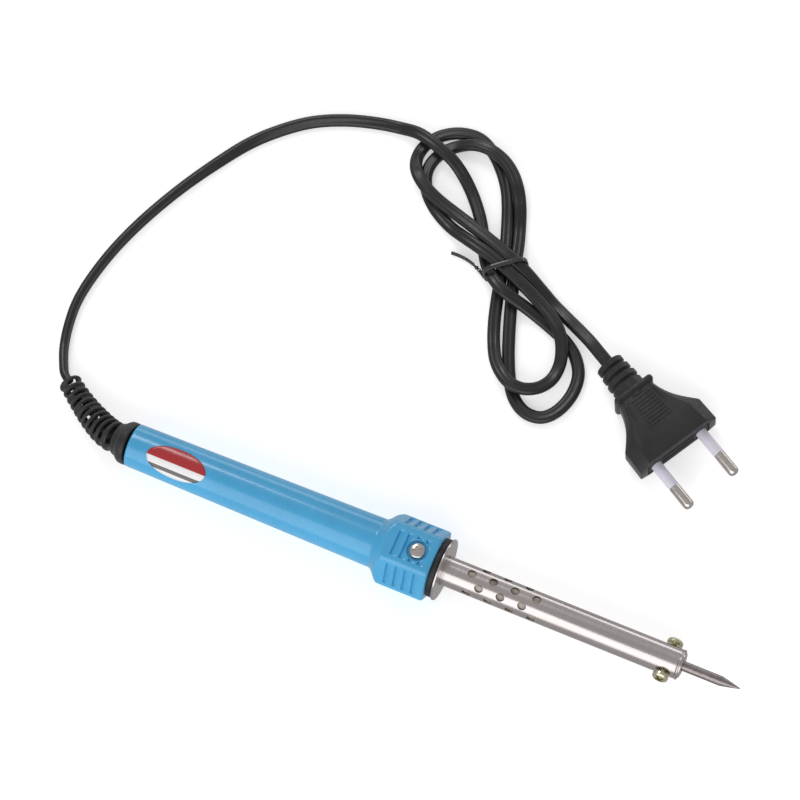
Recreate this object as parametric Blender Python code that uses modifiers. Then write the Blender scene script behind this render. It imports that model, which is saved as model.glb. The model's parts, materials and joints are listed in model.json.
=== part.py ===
"""Mains soldering iron: a screw-clamped bit in a vented barrel, a handle, and a flat cord with its plug.

Metres, +Z up. The iron lies along X with its bit towards +X, and rests on one flat of the handle's collar.
"""

import math

import bmesh
import bpy
from mathutils import Matrix, Vector

# Overall sizes
HANDLE_LENGTH = 0.1162
HANDLE_REAR_RADIUS = 0.0078
HANDLE_FRONT_RADIUS = 0.0089
HANDLE_WALL = 0.0017

# Hexagonal collar at the front of the handle
COLLAR_APOTHEM = 0.0118
COLLAR_CORNER_RADIUS = 0.0132
COLLAR_LENGTH = 0.0168
FLARE_LENGTH = 0.0055
COLLAR_CHAMFER = 0.0009
GROOVES_PER_FLAT = 4
GROOVE_PITCH = 0.00335
GROOVE_WIDTH = 0.0012
GROOVE_DEPTH = 0.0007
GROOVE_SPAN = 0.0090
GROOVE_FIRST = 0.0034

# Clearances: FIT between pieces that touch, THIN_FIT in the stack at the front of the collar
FIT = 0.0003
THIN_FIT = 0.0002

# Front stack
DISC_RADIUS = 0.0106
DISC_THICKNESS = 0.0020
SPIGOT_LENGTH = 0.0140
FLANGE_RADIUS = 0.01115
FLANGE_THICKNESS = 0.0008

# Barrel
BARREL_RADIUS = 0.00525
BARREL_WALL = 0.0005
BARREL_LENGTH = 0.0873
BARREL_TAIL = 0.0100
BARREL_RIM = 0.00015
VENT_RADIUS = 0.0015
VENT_ROWS = 8
VENT_PITCH = 0.0080
VENT_FIRST = 0.0099
VENT_ROLL = math.radians(-13)

# Bit, its bush and its two clamp screws
BIT_RADIUS = 0.00175
BIT_EXPOSED = 0.0213
BIT_INSIDE = 0.0475
BIT_CONE = 0.0070
BIT_POINT_RADIUS = 0.0003
BUSH_LENGTH = 0.0085
BUSH_PROUD = 0.0006
CLAMP_SETBACK = 0.0050
CLAMP_ANGLE = math.radians(77)
CLAMP_HEAD_RADIUS = 0.0028
CLAMP_HEAD_HEIGHT = 0.0019
CLAMP_HEAD_LIFT = 0.0010
CLAMP_SHANK_RADIUS = 0.0010
CLAMP_RECESS_DEPTH = 0.0009
WINDING_SETBACK = 0.0040

# Heater inside the barrel
MICA_THICKNESS = 0.00025
WINDING_WIRE = 0.00025
WINDING_TURNS = 12
WINDING_LENGTH = 0.0400
HEATER_REAR_SETBACK = 0.0060
BEAD_SETBACK = 0.0025
BEAD_LENGTH = 0.0070

# Collar screw
COLLAR_SCREW_SETBACK = 0.0064
COLLAR_HEAD_RADIUS = 0.00255
COLLAR_HEAD_HEIGHT = 0.0016
COLLAR_RECESS_RADIUS = 0.0036
COLLAR_RECESS_DEPTH = 0.0013
COLLAR_SHANK_RADIUS = 0.0014
COLLAR_CROSS_DEPTH = 0.0007

# Wiring inside the handle
LEAD_RADIUS = 0.0004
LEAD_OFFSET = 0.0024
SLEEVE_RADIUS = 0.0012
BLOCK_LENGTH = 0.0180
BLOCK_WIDTH = 0.0096
BLOCK_HEIGHT = 0.0066
BLOCK_SETBACK = 0.0470
INSERT_SIZE = 0.0034
INSERT_BORE = 0.0008
TERMINAL_SCREW_RADIUS = 0.0006
TERMINAL_SCREW_HEAD = 0.0009
TERMINAL_SCREW_SHANK = 0.0010
TERMINAL_POCKET_DEPTH = 0.0003
CORE_RADIUS = 0.0011
CORE_OFFSET = 0.0016
CORE_STRIPPED = 0.0070
CORE_BARE_SHARE = 0.45
GRIP_LENGTH = 0.0060
GRIP_WIDTH = 0.0085
GRIP_HEIGHT = 0.0050
GRIP_GAP = 0.0140

# Strain relief at the rear of the handle
RELIEF_SPIGOT = 0.0070
RELIEF_CAP_LENGTH = 0.0040
RELIEF_BASE_RADIUS = 0.0057
RELIEF_END_RADIUS = 0.0042
RELIEF_RIBS = 11
RELIEF_RIB_HEIGHT = 0.0006

# Label on the handle
LABEL_LENGTH = 0.0225
LABEL_WIDTH = 0.0118
LABEL_SETBACK = 0.0190
LABEL_ROLL = math.radians(19)
LABEL_THICKNESS = 0.0002
LABEL_GAP = 0.0001

# Cord, its tie and its plug
CORD_TUBE_RADIUS = 0.0018
CORD_POINTS = 78
CORD_STUB = 0.0030
TIE_STRAP = 0.0008
TIE_WIDTH = 0.0028
TIE_LAID_CENTRE = Vector((-0.0209, 0.1115, 0.0))
TIE_HEADING = math.radians(41.5)
TIE_HALF_LENGTH = 0.0088
TIE_BOTTOM = 0.0001
TIE_TOP = 0.0099
TIE_CORNER = 0.0030
TIE_LAID_TAIL_END = Vector((-0.0410, 0.1115, 0.0))
TIE_TAIL_HEIGHT = 0.0050
PLUG_LAID_FACE = Vector((0.0621, 0.0724, 0.0069))
PLUG_HEADING = math.radians(-29.7)
PLUG_LENGTH = 0.0260
PLUG_HALF_WIDTH = 0.0166
PLUG_STRAIGHT = 0.0093
PLUG_WAIST_HALF = 0.0078
PLUG_THICKNESS = 0.0137
PLUG_RELIEF_LENGTH = 0.0137
PLUG_RELIEF_BASE = 0.0062
PLUG_RELIEF_END = 0.0043
PLUG_RELIEF_RINGS = 4
PLUG_RELIEF_GROOVE = 0.0010
PLUG_SIDE_HOLLOW = 0.0012
PIN_SPACING = 0.0196
PIN_LENGTH = 0.0193
PIN_RADIUS = 0.0020
PIN_SLEEVE_LENGTH = 0.0100
PIN_SLEEVE_WALL = 0.0005
PIN_ROOT = 0.0080
CARRIER_WIDTH = 0.0266
CARRIER_HEIGHT = 0.0076
CARRIER_DEPTH = 0.0100

# The cord, its tie and its plug are laid out behind a handle whose rear rim is at this X
LAID_REAR_X = -0.1140

# Centre line of the strain relief, from behind its cap to the end that lies on the table (millimetres)
RELIEF_ROUTE_MM = [
    (-118.1, 0.0, 11.8),
    (-122.0, 0.3, 11.2),
    (-127.0, 2.0, 9.6),
    (-134.0, 5.6, 7.4),
    (-141.0, 10.0, 5.5),
    (-147.3, 14.4, 4.5),
]

# The cord's route, from the strain relief through the tied figure-of-eight to the plug (millimetres)
CORD_ROUTE_MM = [
    (-151.6, 18.4, 3.8),
    (-155.3, 25.8, 2.7),
    (-157.6, 34.5, 2.0),
    (-158.6, 44.0, 1.85),
    (-157.5, 55.0, 1.85),
    (-154.5, 68.0, 1.85),
    (-149.5, 82.0, 1.85),
    (-142.5, 97.0, 1.85),
    (-134.5, 111.0, 1.85),
    (-126.5, 123.0, 1.85),
    (-118.0, 132.0, 1.85),
    (-108.5, 139.3, 1.85),
    (-97.5, 144.5, 1.85),
    (-86.0, 147.8, 1.85),
    (-77.5, 149.0, 2.4),
    (-70.5, 148.6, 4.9),
    (-64.5, 147.0, 5.9),
    (-59.5, 145.2, 5.9),
    (-54.0, 143.0, 5.3),
    (-48.5, 139.6, 2.9),
    (-43.0, 134.6, 1.85),
    (-37.8, 128.4, 1.85),
    (-33.8, 122.2, 1.85),
    (-30.8, 116.4, 2.0),
    (-27.5, 111.4, 3.2),
    (-23.5, 107.2, 6.2),
    (-19.0, 104.2, 7.0),
    (-14.0, 102.4, 6.5),
    (-8.5, 101.6, 4.1),
    (-3.0, 100.4, 2.2),
    (3.5, 98.2, 1.85),
    (9.8, 95.5, 1.85),
    (15.2, 91.3, 1.85),
    (18.7, 85.3, 1.85),
    (19.2, 78.0, 1.85),
    (17.0, 71.0, 1.85),
    (12.8, 66.5, 1.85),
    (7.0, 65.9, 1.85),
    (1.6, 68.8, 1.85),
    (-2.8, 74.4, 1.85),
    (-6.9, 82.6, 1.85),
    (-10.6, 92.0, 1.85),
    (-13.8, 101.2, 2.0),
    (-16.0, 108.3, 3.1),
    (-18.2, 115.2, 3.1),
    (-20.2, 122.6, 2.4),
    (-22.6, 129.6, 1.9),
    (-25.0, 135.8, 3.1),
    (-28.0, 141.3, 5.6),
    (-32.5, 146.6, 5.9),
    (-38.0, 150.3, 5.9),
    (-44.2, 152.0, 5.9),
    (-50.2, 151.9, 4.5),
    (-55.8, 149.9, 2.2),
    (-59.8, 146.0, 1.85),
    (-61.9, 141.2, 1.85),
    (-62.0, 136.2, 1.85),
    (-60.0, 131.4, 1.85),
    (-56.5, 127.2, 1.85),
    (-51.5, 123.4, 1.9),
    (-45.0, 120.0, 2.7),
    (-38.5, 117.5, 5.2),
    (-32.0, 115.5, 6.6),
    (-26.0, 113.7, 6.9),
    (-20.5, 111.6, 6.9),
    (-14.5, 109.2, 6.7),
    (-8.5, 106.7, 6.2),
    (-3.0, 103.9, 5.9),
    (2.2, 100.9, 6.1),
    (6.6, 97.0, 6.1),
    (9.6, 92.2, 5.2),
    (11.2, 86.6, 3.6),
    (10.8, 80.6, 3.4),
    (8.0, 75.6, 4.6),
    (3.4, 72.7, 5.8),
    (-1.8, 72.7, 6.2),
    (-6.4, 75.3, 5.7),
    (-10.6, 79.8, 4.0),
    (-14.1, 86.2, 2.2),
    (-16.8, 93.0, 1.85),
    (-18.9, 100.0, 2.0),
    (-20.6, 107.0, 2.7),
    (-22.3, 114.0, 3.2),
    (-24.4, 121.4, 2.4),
    (-27.0, 128.6, 1.85),
    (-29.8, 135.6, 1.85),
    (-33.0, 141.8, 1.85),
    (-37.4, 147.6, 1.85),
    (-42.8, 152.6, 1.85),
    (-49.4, 155.9, 1.85),
    (-56.4, 155.4, 1.85),
    (-62.4, 152.2, 1.85),
    (-66.3, 147.4, 1.85),
    (-67.6, 142.4, 2.1),
    (-66.6, 137.6, 3.9),
    (-63.8, 133.4, 5.8),
    (-59.0, 129.8, 5.9),
    (-52.6, 127.0, 5.5),
    (-45.6, 124.8, 5.4),
    (-38.8, 122.6, 5.9),
    (-32.2, 120.4, 6.6),
    (-25.4, 118.0, 6.9),
    (-19.0, 115.7, 6.9),
    (-13.0, 113.3, 5.8),
    (-7.0, 110.6, 3.3),
    (0.0, 107.0, 2.0),
    (6.8, 103.6, 3.0),
    (13.0, 100.3, 5.2),
    (18.3, 97.4, 6.7),
    (23.0, 94.7, 6.9),
]

# Places that follow from the sizes
AXIS_Z = COLLAR_APOTHEM
STACK_LENGTH = 2 * THIN_FIT + DISC_THICKNESS + FLANGE_THICKNESS
IRON_LENGTH = HANDLE_LENGTH + STACK_LENGTH + BARREL_LENGTH + BIT_EXPOSED
REAR_X = -IRON_LENGTH / 2
POINT_X = IRON_LENGTH / 2
COLLAR_FRONT_X = REAR_X + HANDLE_LENGTH
COLLAR_REAR_X = COLLAR_FRONT_X - COLLAR_LENGTH
FLARE_START_X = COLLAR_REAR_X - FLARE_LENGTH
DISC_REAR_X = COLLAR_FRONT_X + THIN_FIT
DISC_FRONT_X = DISC_REAR_X + DISC_THICKNESS
FLANGE_REAR_X = DISC_FRONT_X + THIN_FIT
FLANGE_FRONT_X = FLANGE_REAR_X + FLANGE_THICKNESS
BARREL_FRONT_X = FLANGE_FRONT_X + BARREL_LENGTH
BARREL_REAR_X = COLLAR_FRONT_X - BARREL_TAIL
BARREL_BORE = BARREL_RADIUS - BARREL_WALL
SPIGOT_BORE = BARREL_RADIUS + FIT
HANDLE_FRONT_BORE = HANDLE_FRONT_RADIUS - HANDLE_WALL
HANDLE_REAR_BORE = HANDLE_REAR_RADIUS - HANDLE_WALL
SPIGOT_RADIUS = HANDLE_FRONT_BORE - FIT
BUSH_FRONT_X = BARREL_FRONT_X + BUSH_PROUD
BUSH_REAR_X = BUSH_FRONT_X - BUSH_LENGTH
BIT_REAR_X = BARREL_FRONT_X - BIT_INSIDE
CORE_BORE = BIT_RADIUS + FIT
MICA_OUTER_RADIUS = BARREL_BORE - FIT
MICA_OUTER_BORE = MICA_OUTER_RADIUS - MICA_THICKNESS
WINDING_RADIUS = MICA_OUTER_BORE - FIT - WINDING_WIRE
MICA_INNER_RADIUS = WINDING_RADIUS - WINDING_WIRE - FIT
MICA_INNER_BORE = MICA_INNER_RADIUS - MICA_THICKNESS
CORE_OUTER = MICA_INNER_BORE - FIT
CORE_FRONT_X = BUSH_REAR_X - FIT
CORE_REAR_X = FLANGE_FRONT_X + HEATER_REAR_SETBACK
WINDING_FRONT_X = CORE_FRONT_X - WINDING_SETBACK
WINDING_REAR_X = WINDING_FRONT_X - WINDING_LENGTH
CLAMP_X = BARREL_FRONT_X - CLAMP_SETBACK
COLLAR_SCREW_X = COLLAR_FRONT_X - COLLAR_SCREW_SETBACK
BEAD_FRONT_X = CORE_REAR_X - BEAD_SETBACK
BEAD_REAR_X = BEAD_FRONT_X - BEAD_LENGTH
BLOCK_FRONT_X = COLLAR_FRONT_X - BLOCK_SETBACK
BLOCK_REAR_X = BLOCK_FRONT_X - BLOCK_LENGTH
RELIEF_FRONT_X = REAR_X + RELIEF_SPIGOT
GRIP_FRONT_X = RELIEF_FRONT_X + GRIP_GAP
ROUTE_SHIFT = Vector((REAR_X - LAID_REAR_X, 0.0, 0.0))
TIE_CENTRE = TIE_LAID_CENTRE + ROUTE_SHIFT
TIE_TAIL_END = TIE_LAID_TAIL_END + ROUTE_SHIFT
PLUG_FACE = PLUG_LAID_FACE + ROUTE_SHIFT

ALONG_X = Matrix.Rotation(math.pi / 2, 4, "Y")
TURN_STEPS = 32


def clear_scene():
    for obj in list(bpy.data.objects):
        bpy.data.objects.remove(obj, do_unlink=True)


def new_collection(name):
    made = bpy.data.collections.new(name)
    bpy.context.scene.collection.children.link(made)
    return made


def finish(name, colour, roughness, metallic=0.0):
    """A Principled material."""
    made = bpy.data.materials.new(name)
    made.use_nodes = True
    shader = made.node_tree.nodes["Principled BSDF"]
    shader.inputs["Base Color"].default_value = (*colour, 1.0)
    shader.inputs["Roughness"].default_value = roughness
    shader.inputs["Metallic"].default_value = metallic
    return made


def place_object(name, data, look, where=Matrix.Identity(4)):
    obj = bpy.data.objects.new(name, data)
    obj.matrix_world = where
    if look is None:
        CUTTERS.objects.link(obj)
        obj.hide_render = True
        obj.display_type = "WIRE"
    else:
        PARTS.objects.link(obj)
        data.materials.append(look)
    return obj


def on_axis(x=0.0, y=0.0, z=0.0):
    """A frame whose Z runs along the iron, at x and off its axis by y and z."""
    return Matrix.Translation((x, y, AXIS_Z + z)) @ ALONG_X


def turned(name, profile, look, where=None, steps=TURN_STEPS, ring=False):
    """A turned shape from (place along the axis, radius) points, its outer side from front to rear."""
    mesh = bpy.data.meshes.new(name)
    points = [(radius, 0.0, along) for along, radius in profile]
    edges = [(i, i + 1) for i in range(len(points) - 1)]
    if ring:
        edges.append((len(points) - 1, 0))
    mesh.from_pydata(points, edges, [])
    obj = place_object(name, mesh, look, on_axis() if where is None else where)
    screw = obj.modifiers.new("turn", "SCREW")
    screw.axis = "Z"
    screw.angle = math.tau
    screw.steps = steps
    screw.render_steps = steps
    screw.use_merge_vertices = True
    screw.merge_threshold = 0.00001
    screw.use_smooth_shade = True
    return obj


def tube_profile(front, rear, outer, inner):
    return [(front, outer), (rear, outer), (rear, inner), (front, inner)]


def rod_profile(front, rear, radius):
    return [(front, 0.0), (front, radius), (rear, radius), (rear, 0.0)]


def add_box(bm, size, where):
    made = bmesh.ops.create_cube(bm, size=1.0)
    stretch = Matrix.Diagonal((*size, 1.0))
    bmesh.ops.transform(bm, matrix=where @ stretch, verts=made["verts"])


def add_rod(bm, radius, length, where, segments=12):
    """A cylinder centred on the frame, along its Z."""
    bmesh.ops.create_cone(
        bm, cap_ends=True, segments=segments, radius1=radius, radius2=radius, depth=length, matrix=where
    )


def from_bmesh(name, bm, look, where=Matrix.Identity(4)):
    mesh = bpy.data.meshes.new(name)
    bm.to_mesh(mesh)
    bm.free()
    return place_object(name, mesh, look, where)


def box(name, size, look, where):
    bm = bmesh.new()
    add_box(bm, size, Matrix.Identity(4))
    return from_bmesh(name, bm, look, where)


def cut(obj, cutter, operation="DIFFERENCE"):
    modifier = obj.modifiers.new(cutter.name, "BOOLEAN")
    modifier.operation = operation
    modifier.solver = "EXACT"
    modifier.object = cutter
    return modifier


def wire(name, points, radius, look, sides=2, radii=None):
    """A round wire or cord through the points, with filled ends."""
    curve = bpy.data.curves.new(name, "CURVE")
    curve.dimensions = "3D"
    curve.bevel_depth = radius
    curve.bevel_resolution = sides
    curve.use_fill_caps = True
    spline = curve.splines.new("POLY")
    spline.points.add(len(points) - 1)
    for i, point in enumerate(points):
        spline.points[i].co = (*point, 1.0)
        spline.points[i].radius = radii[i] if radii else 1.0
    return place_object(name, curve, look)


def outline(name, splines, half_thickness, look, where):
    """A flat piece: closed outlines in its XY plane, filled and thickened both ways."""
    curve = bpy.data.curves.new(name, "CURVE")
    curve.dimensions = "2D"
    curve.fill_mode = "BOTH"
    curve.extrude = half_thickness
    for points in splines:
        spline = curve.splines.new("POLY")
        spline.points.add(len(points) - 1)
        for i, (x, y) in enumerate(points):
            spline.points[i].co = (x, y, 0.0, 1.0)
        spline.use_cyclic_u = True
    return place_object(name, curve, look, where)


def as_mesh(obj):
    """The curve object remade as a closed mesh object, so that it can be cut or joined."""
    graph = bpy.context.evaluated_depsgraph_get()
    mesh = bpy.data.meshes.new_from_object(obj.evaluated_get(graph))
    bm = bmesh.new()
    bm.from_mesh(mesh)
    bmesh.ops.remove_doubles(bm, verts=bm.verts, dist=0.00001)
    bmesh.ops.recalc_face_normals(bm, faces=bm.faces)
    bm.to_mesh(mesh)
    bm.free()
    name = obj.name
    look = obj.data.materials[0] if obj.data.materials else None
    where = obj.matrix_world.copy()
    bpy.data.objects.remove(obj, do_unlink=True)
    mesh.materials.clear()
    return place_object(name, mesh, look, where)


def smooth_path(route, count):
    """Evenly spaced points on a smooth curve through the route's points."""
    fine = []
    for i in range(len(route) - 1):
        before = route[max(i - 1, 0)]
        after = route[min(i + 2, len(route) - 1)]
        start, end = route[i], route[i + 1]
        for step in range(12):
            t = step / 12
            point = (
                2 * start
                + (end - before) * t
                + (2 * before - 5 * start + 4 * end - after) * t**2
                + (3 * start - before - 3 * end + after) * t**3
            )
            fine.append(point / 2)
    fine.append(route[-1])
    reach = [0.0]
    for start, end in zip(fine, fine[1:]):
        reach.append(reach[-1] + (end - start).length)
    path = []
    place = 0
    for i in range(count):
        target = reach[-1] * i / (count - 1)
        while place < len(reach) - 2 and reach[place + 1] < target:
            place += 1
        share = (target - reach[place]) / (reach[place + 1] - reach[place])
        path.append(fine[place].lerp(fine[place + 1], share))
    return path


def in_metres(route_mm):
    return [Vector(point) * 0.001 + ROUTE_SHIFT for point in route_mm]


def handle_radius(x):
    """The handle's outer radius where it tapers, between the rear rim and the flare."""
    share = (x - REAR_X) / (FLARE_START_X - REAR_X)
    return HANDLE_REAR_RADIUS + share * (HANDLE_FRONT_RADIUS - HANDLE_REAR_RADIUS)


def build_handle():
    corner = COLLAR_CORNER_RADIUS
    shell = turned(
        "handle_shell",
        [
            (COLLAR_FRONT_X, 0.0),
            (COLLAR_FRONT_X, corner - COLLAR_CHAMFER),
            (COLLAR_FRONT_X - COLLAR_CHAMFER, corner),
            (COLLAR_REAR_X, corner),
            (FLARE_START_X, HANDLE_FRONT_RADIUS),
            (REAR_X + 0.0008, HANDLE_REAR_RADIUS),
            (REAR_X, HANDLE_REAR_RADIUS - 0.0004),
            (REAR_X, 0.0),
        ],
        BLUE,
        steps=48,
    )
    bm = bmesh.new()
    bmesh.ops.create_cone(
        bm,
        cap_ends=True,
        segments=6,
        radius1=COLLAR_APOTHEM / math.cos(math.pi / 6),
        radius2=COLLAR_APOTHEM / math.cos(math.pi / 6),
        depth=HANDLE_LENGTH + 0.02,
    )
    hexagon = from_bmesh("collar_flats", bm, None, on_axis(REAR_X + HANDLE_LENGTH / 2))
    cut(shell, hexagon, "INTERSECT")

    bm = bmesh.new()
    for flat in range(6):
        roll = Matrix.Rotation(flat * math.pi / 3, 4, "X")
        for groove in range(GROOVES_PER_FLAT):
            x = COLLAR_FRONT_X - GROOVE_FIRST - groove * GROOVE_PITCH
            lift = Matrix.Translation((x, 0.0, COLLAR_APOTHEM))
            add_box(bm, (GROOVE_WIDTH, GROOVE_SPAN, 2 * GROOVE_DEPTH), roll @ lift)
    cut(shell, from_bmesh("grip_grooves", bm, None, Matrix.Translation((0.0, 0.0, AXIS_Z))))

    bore = turned(
        "handle_bore",
        [
            (COLLAR_FRONT_X + 0.002, 0.0),
            (COLLAR_FRONT_X + 0.002, HANDLE_FRONT_BORE),
            (FLARE_START_X, HANDLE_FRONT_BORE),
            (REAR_X - 0.002, HANDLE_REAR_BORE),
            (REAR_X - 0.002, 0.0),
        ],
        None,
    )
    cut(shell, bore)
    seat = AXIS_Z + COLLAR_APOTHEM - COLLAR_RECESS_DEPTH
    hole = turned(
        "collar_screw_hole",
        [
            (0.004, 0.0),
            (0.004, COLLAR_RECESS_RADIUS),
            (0.0, COLLAR_RECESS_RADIUS),
            (0.0, COLLAR_SHANK_RADIUS + FIT),
            (-0.008, COLLAR_SHANK_RADIUS + FIT),
            (-0.008, 0.0),
        ],
        None,
        where=Matrix.Translation((COLLAR_SCREW_X, 0.0, seat)),
        steps=24,
    )
    cut(shell, hole)


def build_label():
    """A printed oval, which follows the handle's taper."""
    middle = REAR_X + LABEL_SETBACK
    front, rear = middle + LABEL_LENGTH, middle - LABEL_LENGTH * 0.8
    under = LABEL_GAP
    over = LABEL_GAP + LABEL_THICKNESS
    label = turned(
        "rating_label",
        [
            (front, handle_radius(front) + over),
            (rear, handle_radius(rear) + over),
            (rear, handle_radius(rear) + under),
            (front, handle_radius(front) + under),
        ],
        LABEL,
        steps=48,
        ring=True,
    )
    bm = bmesh.new()
    stretch = Matrix.Diagonal((LABEL_LENGTH / 2, LABEL_WIDTH / 2, 1.0, 1.0))
    bmesh.ops.create_cone(
        bm,
        cap_ends=True,
        segments=32,
        radius1=1.0,
        radius2=1.0,
        depth=0.02,
        matrix=Matrix.Translation((0.0, 0.0, 0.0105)) @ stretch,
    )
    roll = Matrix.Rotation(LABEL_ROLL, 4, "X")
    oval = from_bmesh("label_oval", bm, None, Matrix.Translation((middle, 0.0, AXIS_Z)) @ roll)
    cut(label, oval, "INTERSECT")


def build_screw(name, where, head, look, slot_depth):
    """A cross-recessed screw along its own Z. head is (radius, height, shank radius, shank length)."""
    radius, height, shank, length = head
    edge = height * 0.35
    dome = []
    for step in range(5):
        angle = math.pi / 2 * step / 4
        dome.append((edge + (height - edge) * math.cos(angle), radius * math.sin(angle)))
    screw = turned(
        name,
        [*dome, (0.0, radius), (0.0, shank), (-length, shank), (-length, 0.0)],
        look,
        where=where,
        steps=24,
    )
    for number, turn in enumerate((0.0, math.pi / 2)):
        depth = Matrix.Translation((0.0, 0.0, height)) @ Matrix.Rotation(turn, 4, "Z")
        arm = (radius * 1.15, radius * 0.26, 2 * slot_depth)
        cut(screw, box(f"{name}_recess_{number}", arm, None, where @ depth))
    return screw


def build_front_stack():
    disc = turned(
        "front_insulator",
        [
            (DISC_FRONT_X, DISC_RADIUS),
            (DISC_REAR_X, DISC_RADIUS),
            (DISC_REAR_X, SPIGOT_RADIUS),
            (DISC_REAR_X - SPIGOT_LENGTH, SPIGOT_RADIUS),
            (DISC_REAR_X - SPIGOT_LENGTH, SPIGOT_BORE),
            (DISC_FRONT_X, SPIGOT_BORE),
        ],
        BLACK,
        steps=48,
        ring=True,
    )
    bm = bmesh.new()
    above = Matrix.Translation((COLLAR_SCREW_X, 0.0, AXIS_Z + HANDLE_FRONT_BORE))
    add_rod(bm, COLLAR_SHANK_RADIUS + FIT, 0.006, above, 24)
    cut(disc, from_bmesh("insulator_screw_hole", bm, None))
    turned(
        "barrel_flange",
        [
            (FLANGE_FRONT_X, FLANGE_RADIUS - 0.0002),
            (FLANGE_FRONT_X - 0.0002, FLANGE_RADIUS),
            (FLANGE_REAR_X, FLANGE_RADIUS),
            (FLANGE_REAR_X, SPIGOT_BORE),
            (FLANGE_FRONT_X, SPIGOT_BORE),
        ],
        STEEL,
        steps=48,
        ring=True,
    )
    seat = COLLAR_APOTHEM - COLLAR_RECESS_DEPTH + FIT
    shank = seat - BARREL_RADIUS - FIT
    build_screw(
        "collar_screw",
        Matrix.Translation((COLLAR_SCREW_X, 0.0, AXIS_Z + seat)),
        (COLLAR_HEAD_RADIUS, COLLAR_HEAD_HEIGHT, COLLAR_SHANK_RADIUS, shank),
        NICKEL,
        COLLAR_CROSS_DEPTH,
    )


def radial(x, angle, radius):
    """A frame whose Z points away from the iron's axis, at an angle from +Z towards -Y."""
    turn = Matrix.Rotation(angle, 4, "X")
    return Matrix.Translation((x, 0.0, AXIS_Z)) @ turn @ Matrix.Translation((0.0, 0.0, radius))


def build_barrel():
    rim = BARREL_RADIUS + BARREL_RIM
    barrel = turned(
        "barrel_tube",
        [
            (BARREL_FRONT_X, rim),
            (BARREL_FRONT_X - 0.0006, rim),
            (BARREL_FRONT_X - 0.0008, BARREL_RADIUS),
            (BARREL_REAR_X, BARREL_RADIUS),
            (BARREL_REAR_X, BARREL_BORE),
            (BARREL_FRONT_X, BARREL_BORE),
        ],
        STEEL,
        ring=True,
    )
    bm = bmesh.new()
    for row in range(VENT_ROWS):
        angle = VENT_ROLL + row * math.tau / VENT_ROWS
        staggered = row % 2
        for hole in range(4 - staggered):
            x = FLANGE_FRONT_X + VENT_FIRST + (hole + staggered / 2) * VENT_PITCH
            add_rod(bm, VENT_RADIUS, 0.003, radial(x, angle, BARREL_RADIUS))
    for side in (0.0, math.pi):
        where = radial(CLAMP_X, CLAMP_ANGLE + side, BARREL_RADIUS)
        add_rod(bm, CLAMP_SHANK_RADIUS + FIT, 0.003, where)
    cut(barrel, from_bmesh("barrel_holes", bm, None))


def build_bit():
    """The bit's origin is at the mouth of the barrel, on the axis that it slides along."""
    front = POINT_X - BARREL_FRONT_X
    rear = BIT_REAR_X - BARREL_FRONT_X
    turned(
        "soldering_bit",
        [
            (front, 0.0),
            (front - 0.0003, BIT_POINT_RADIUS),
            (front - BIT_CONE, BIT_RADIUS),
            (rear + 0.0003, BIT_RADIUS),
            (rear, BIT_RADIUS - 0.0003),
            (rear, 0.0),
        ],
        IRON,
        where=on_axis(BARREL_FRONT_X),
        steps=24,
    )
    bush = turned(
        "bit_bush",
        [
            (BUSH_FRONT_X, BARREL_BORE - 0.0008),
            (BUSH_FRONT_X - 0.0003, BARREL_BORE - FIT),
            (BUSH_REAR_X, BARREL_BORE - FIT),
            (BUSH_REAR_X, CORE_BORE),
            (BUSH_FRONT_X, CORE_BORE),
        ],
        STEEL,
        steps=24,
        ring=True,
    )
    bm = bmesh.new()
    for side in (0.0, math.pi):
        where = radial(CLAMP_X, CLAMP_ANGLE + side, (CORE_BORE + BARREL_BORE) / 2)
        add_rod(bm, CLAMP_SHANK_RADIUS + FIT, 0.004, where)
    cut(bush, from_bmesh("bush_screw_holes", bm, None))
    seat = BARREL_RADIUS + CLAMP_HEAD_LIFT
    shank = seat - BIT_RADIUS - FIT
    for name, side in (("clamp_screw_lower", 0.0), ("clamp_screw_upper", math.pi)):
        build_screw(
            name,
            radial(CLAMP_X, CLAMP_ANGLE + side, seat),
            (CLAMP_HEAD_RADIUS, CLAMP_HEAD_HEIGHT, CLAMP_SHANK_RADIUS, shank),
            ZINC,
            CLAMP_RECESS_DEPTH,
        )


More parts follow.
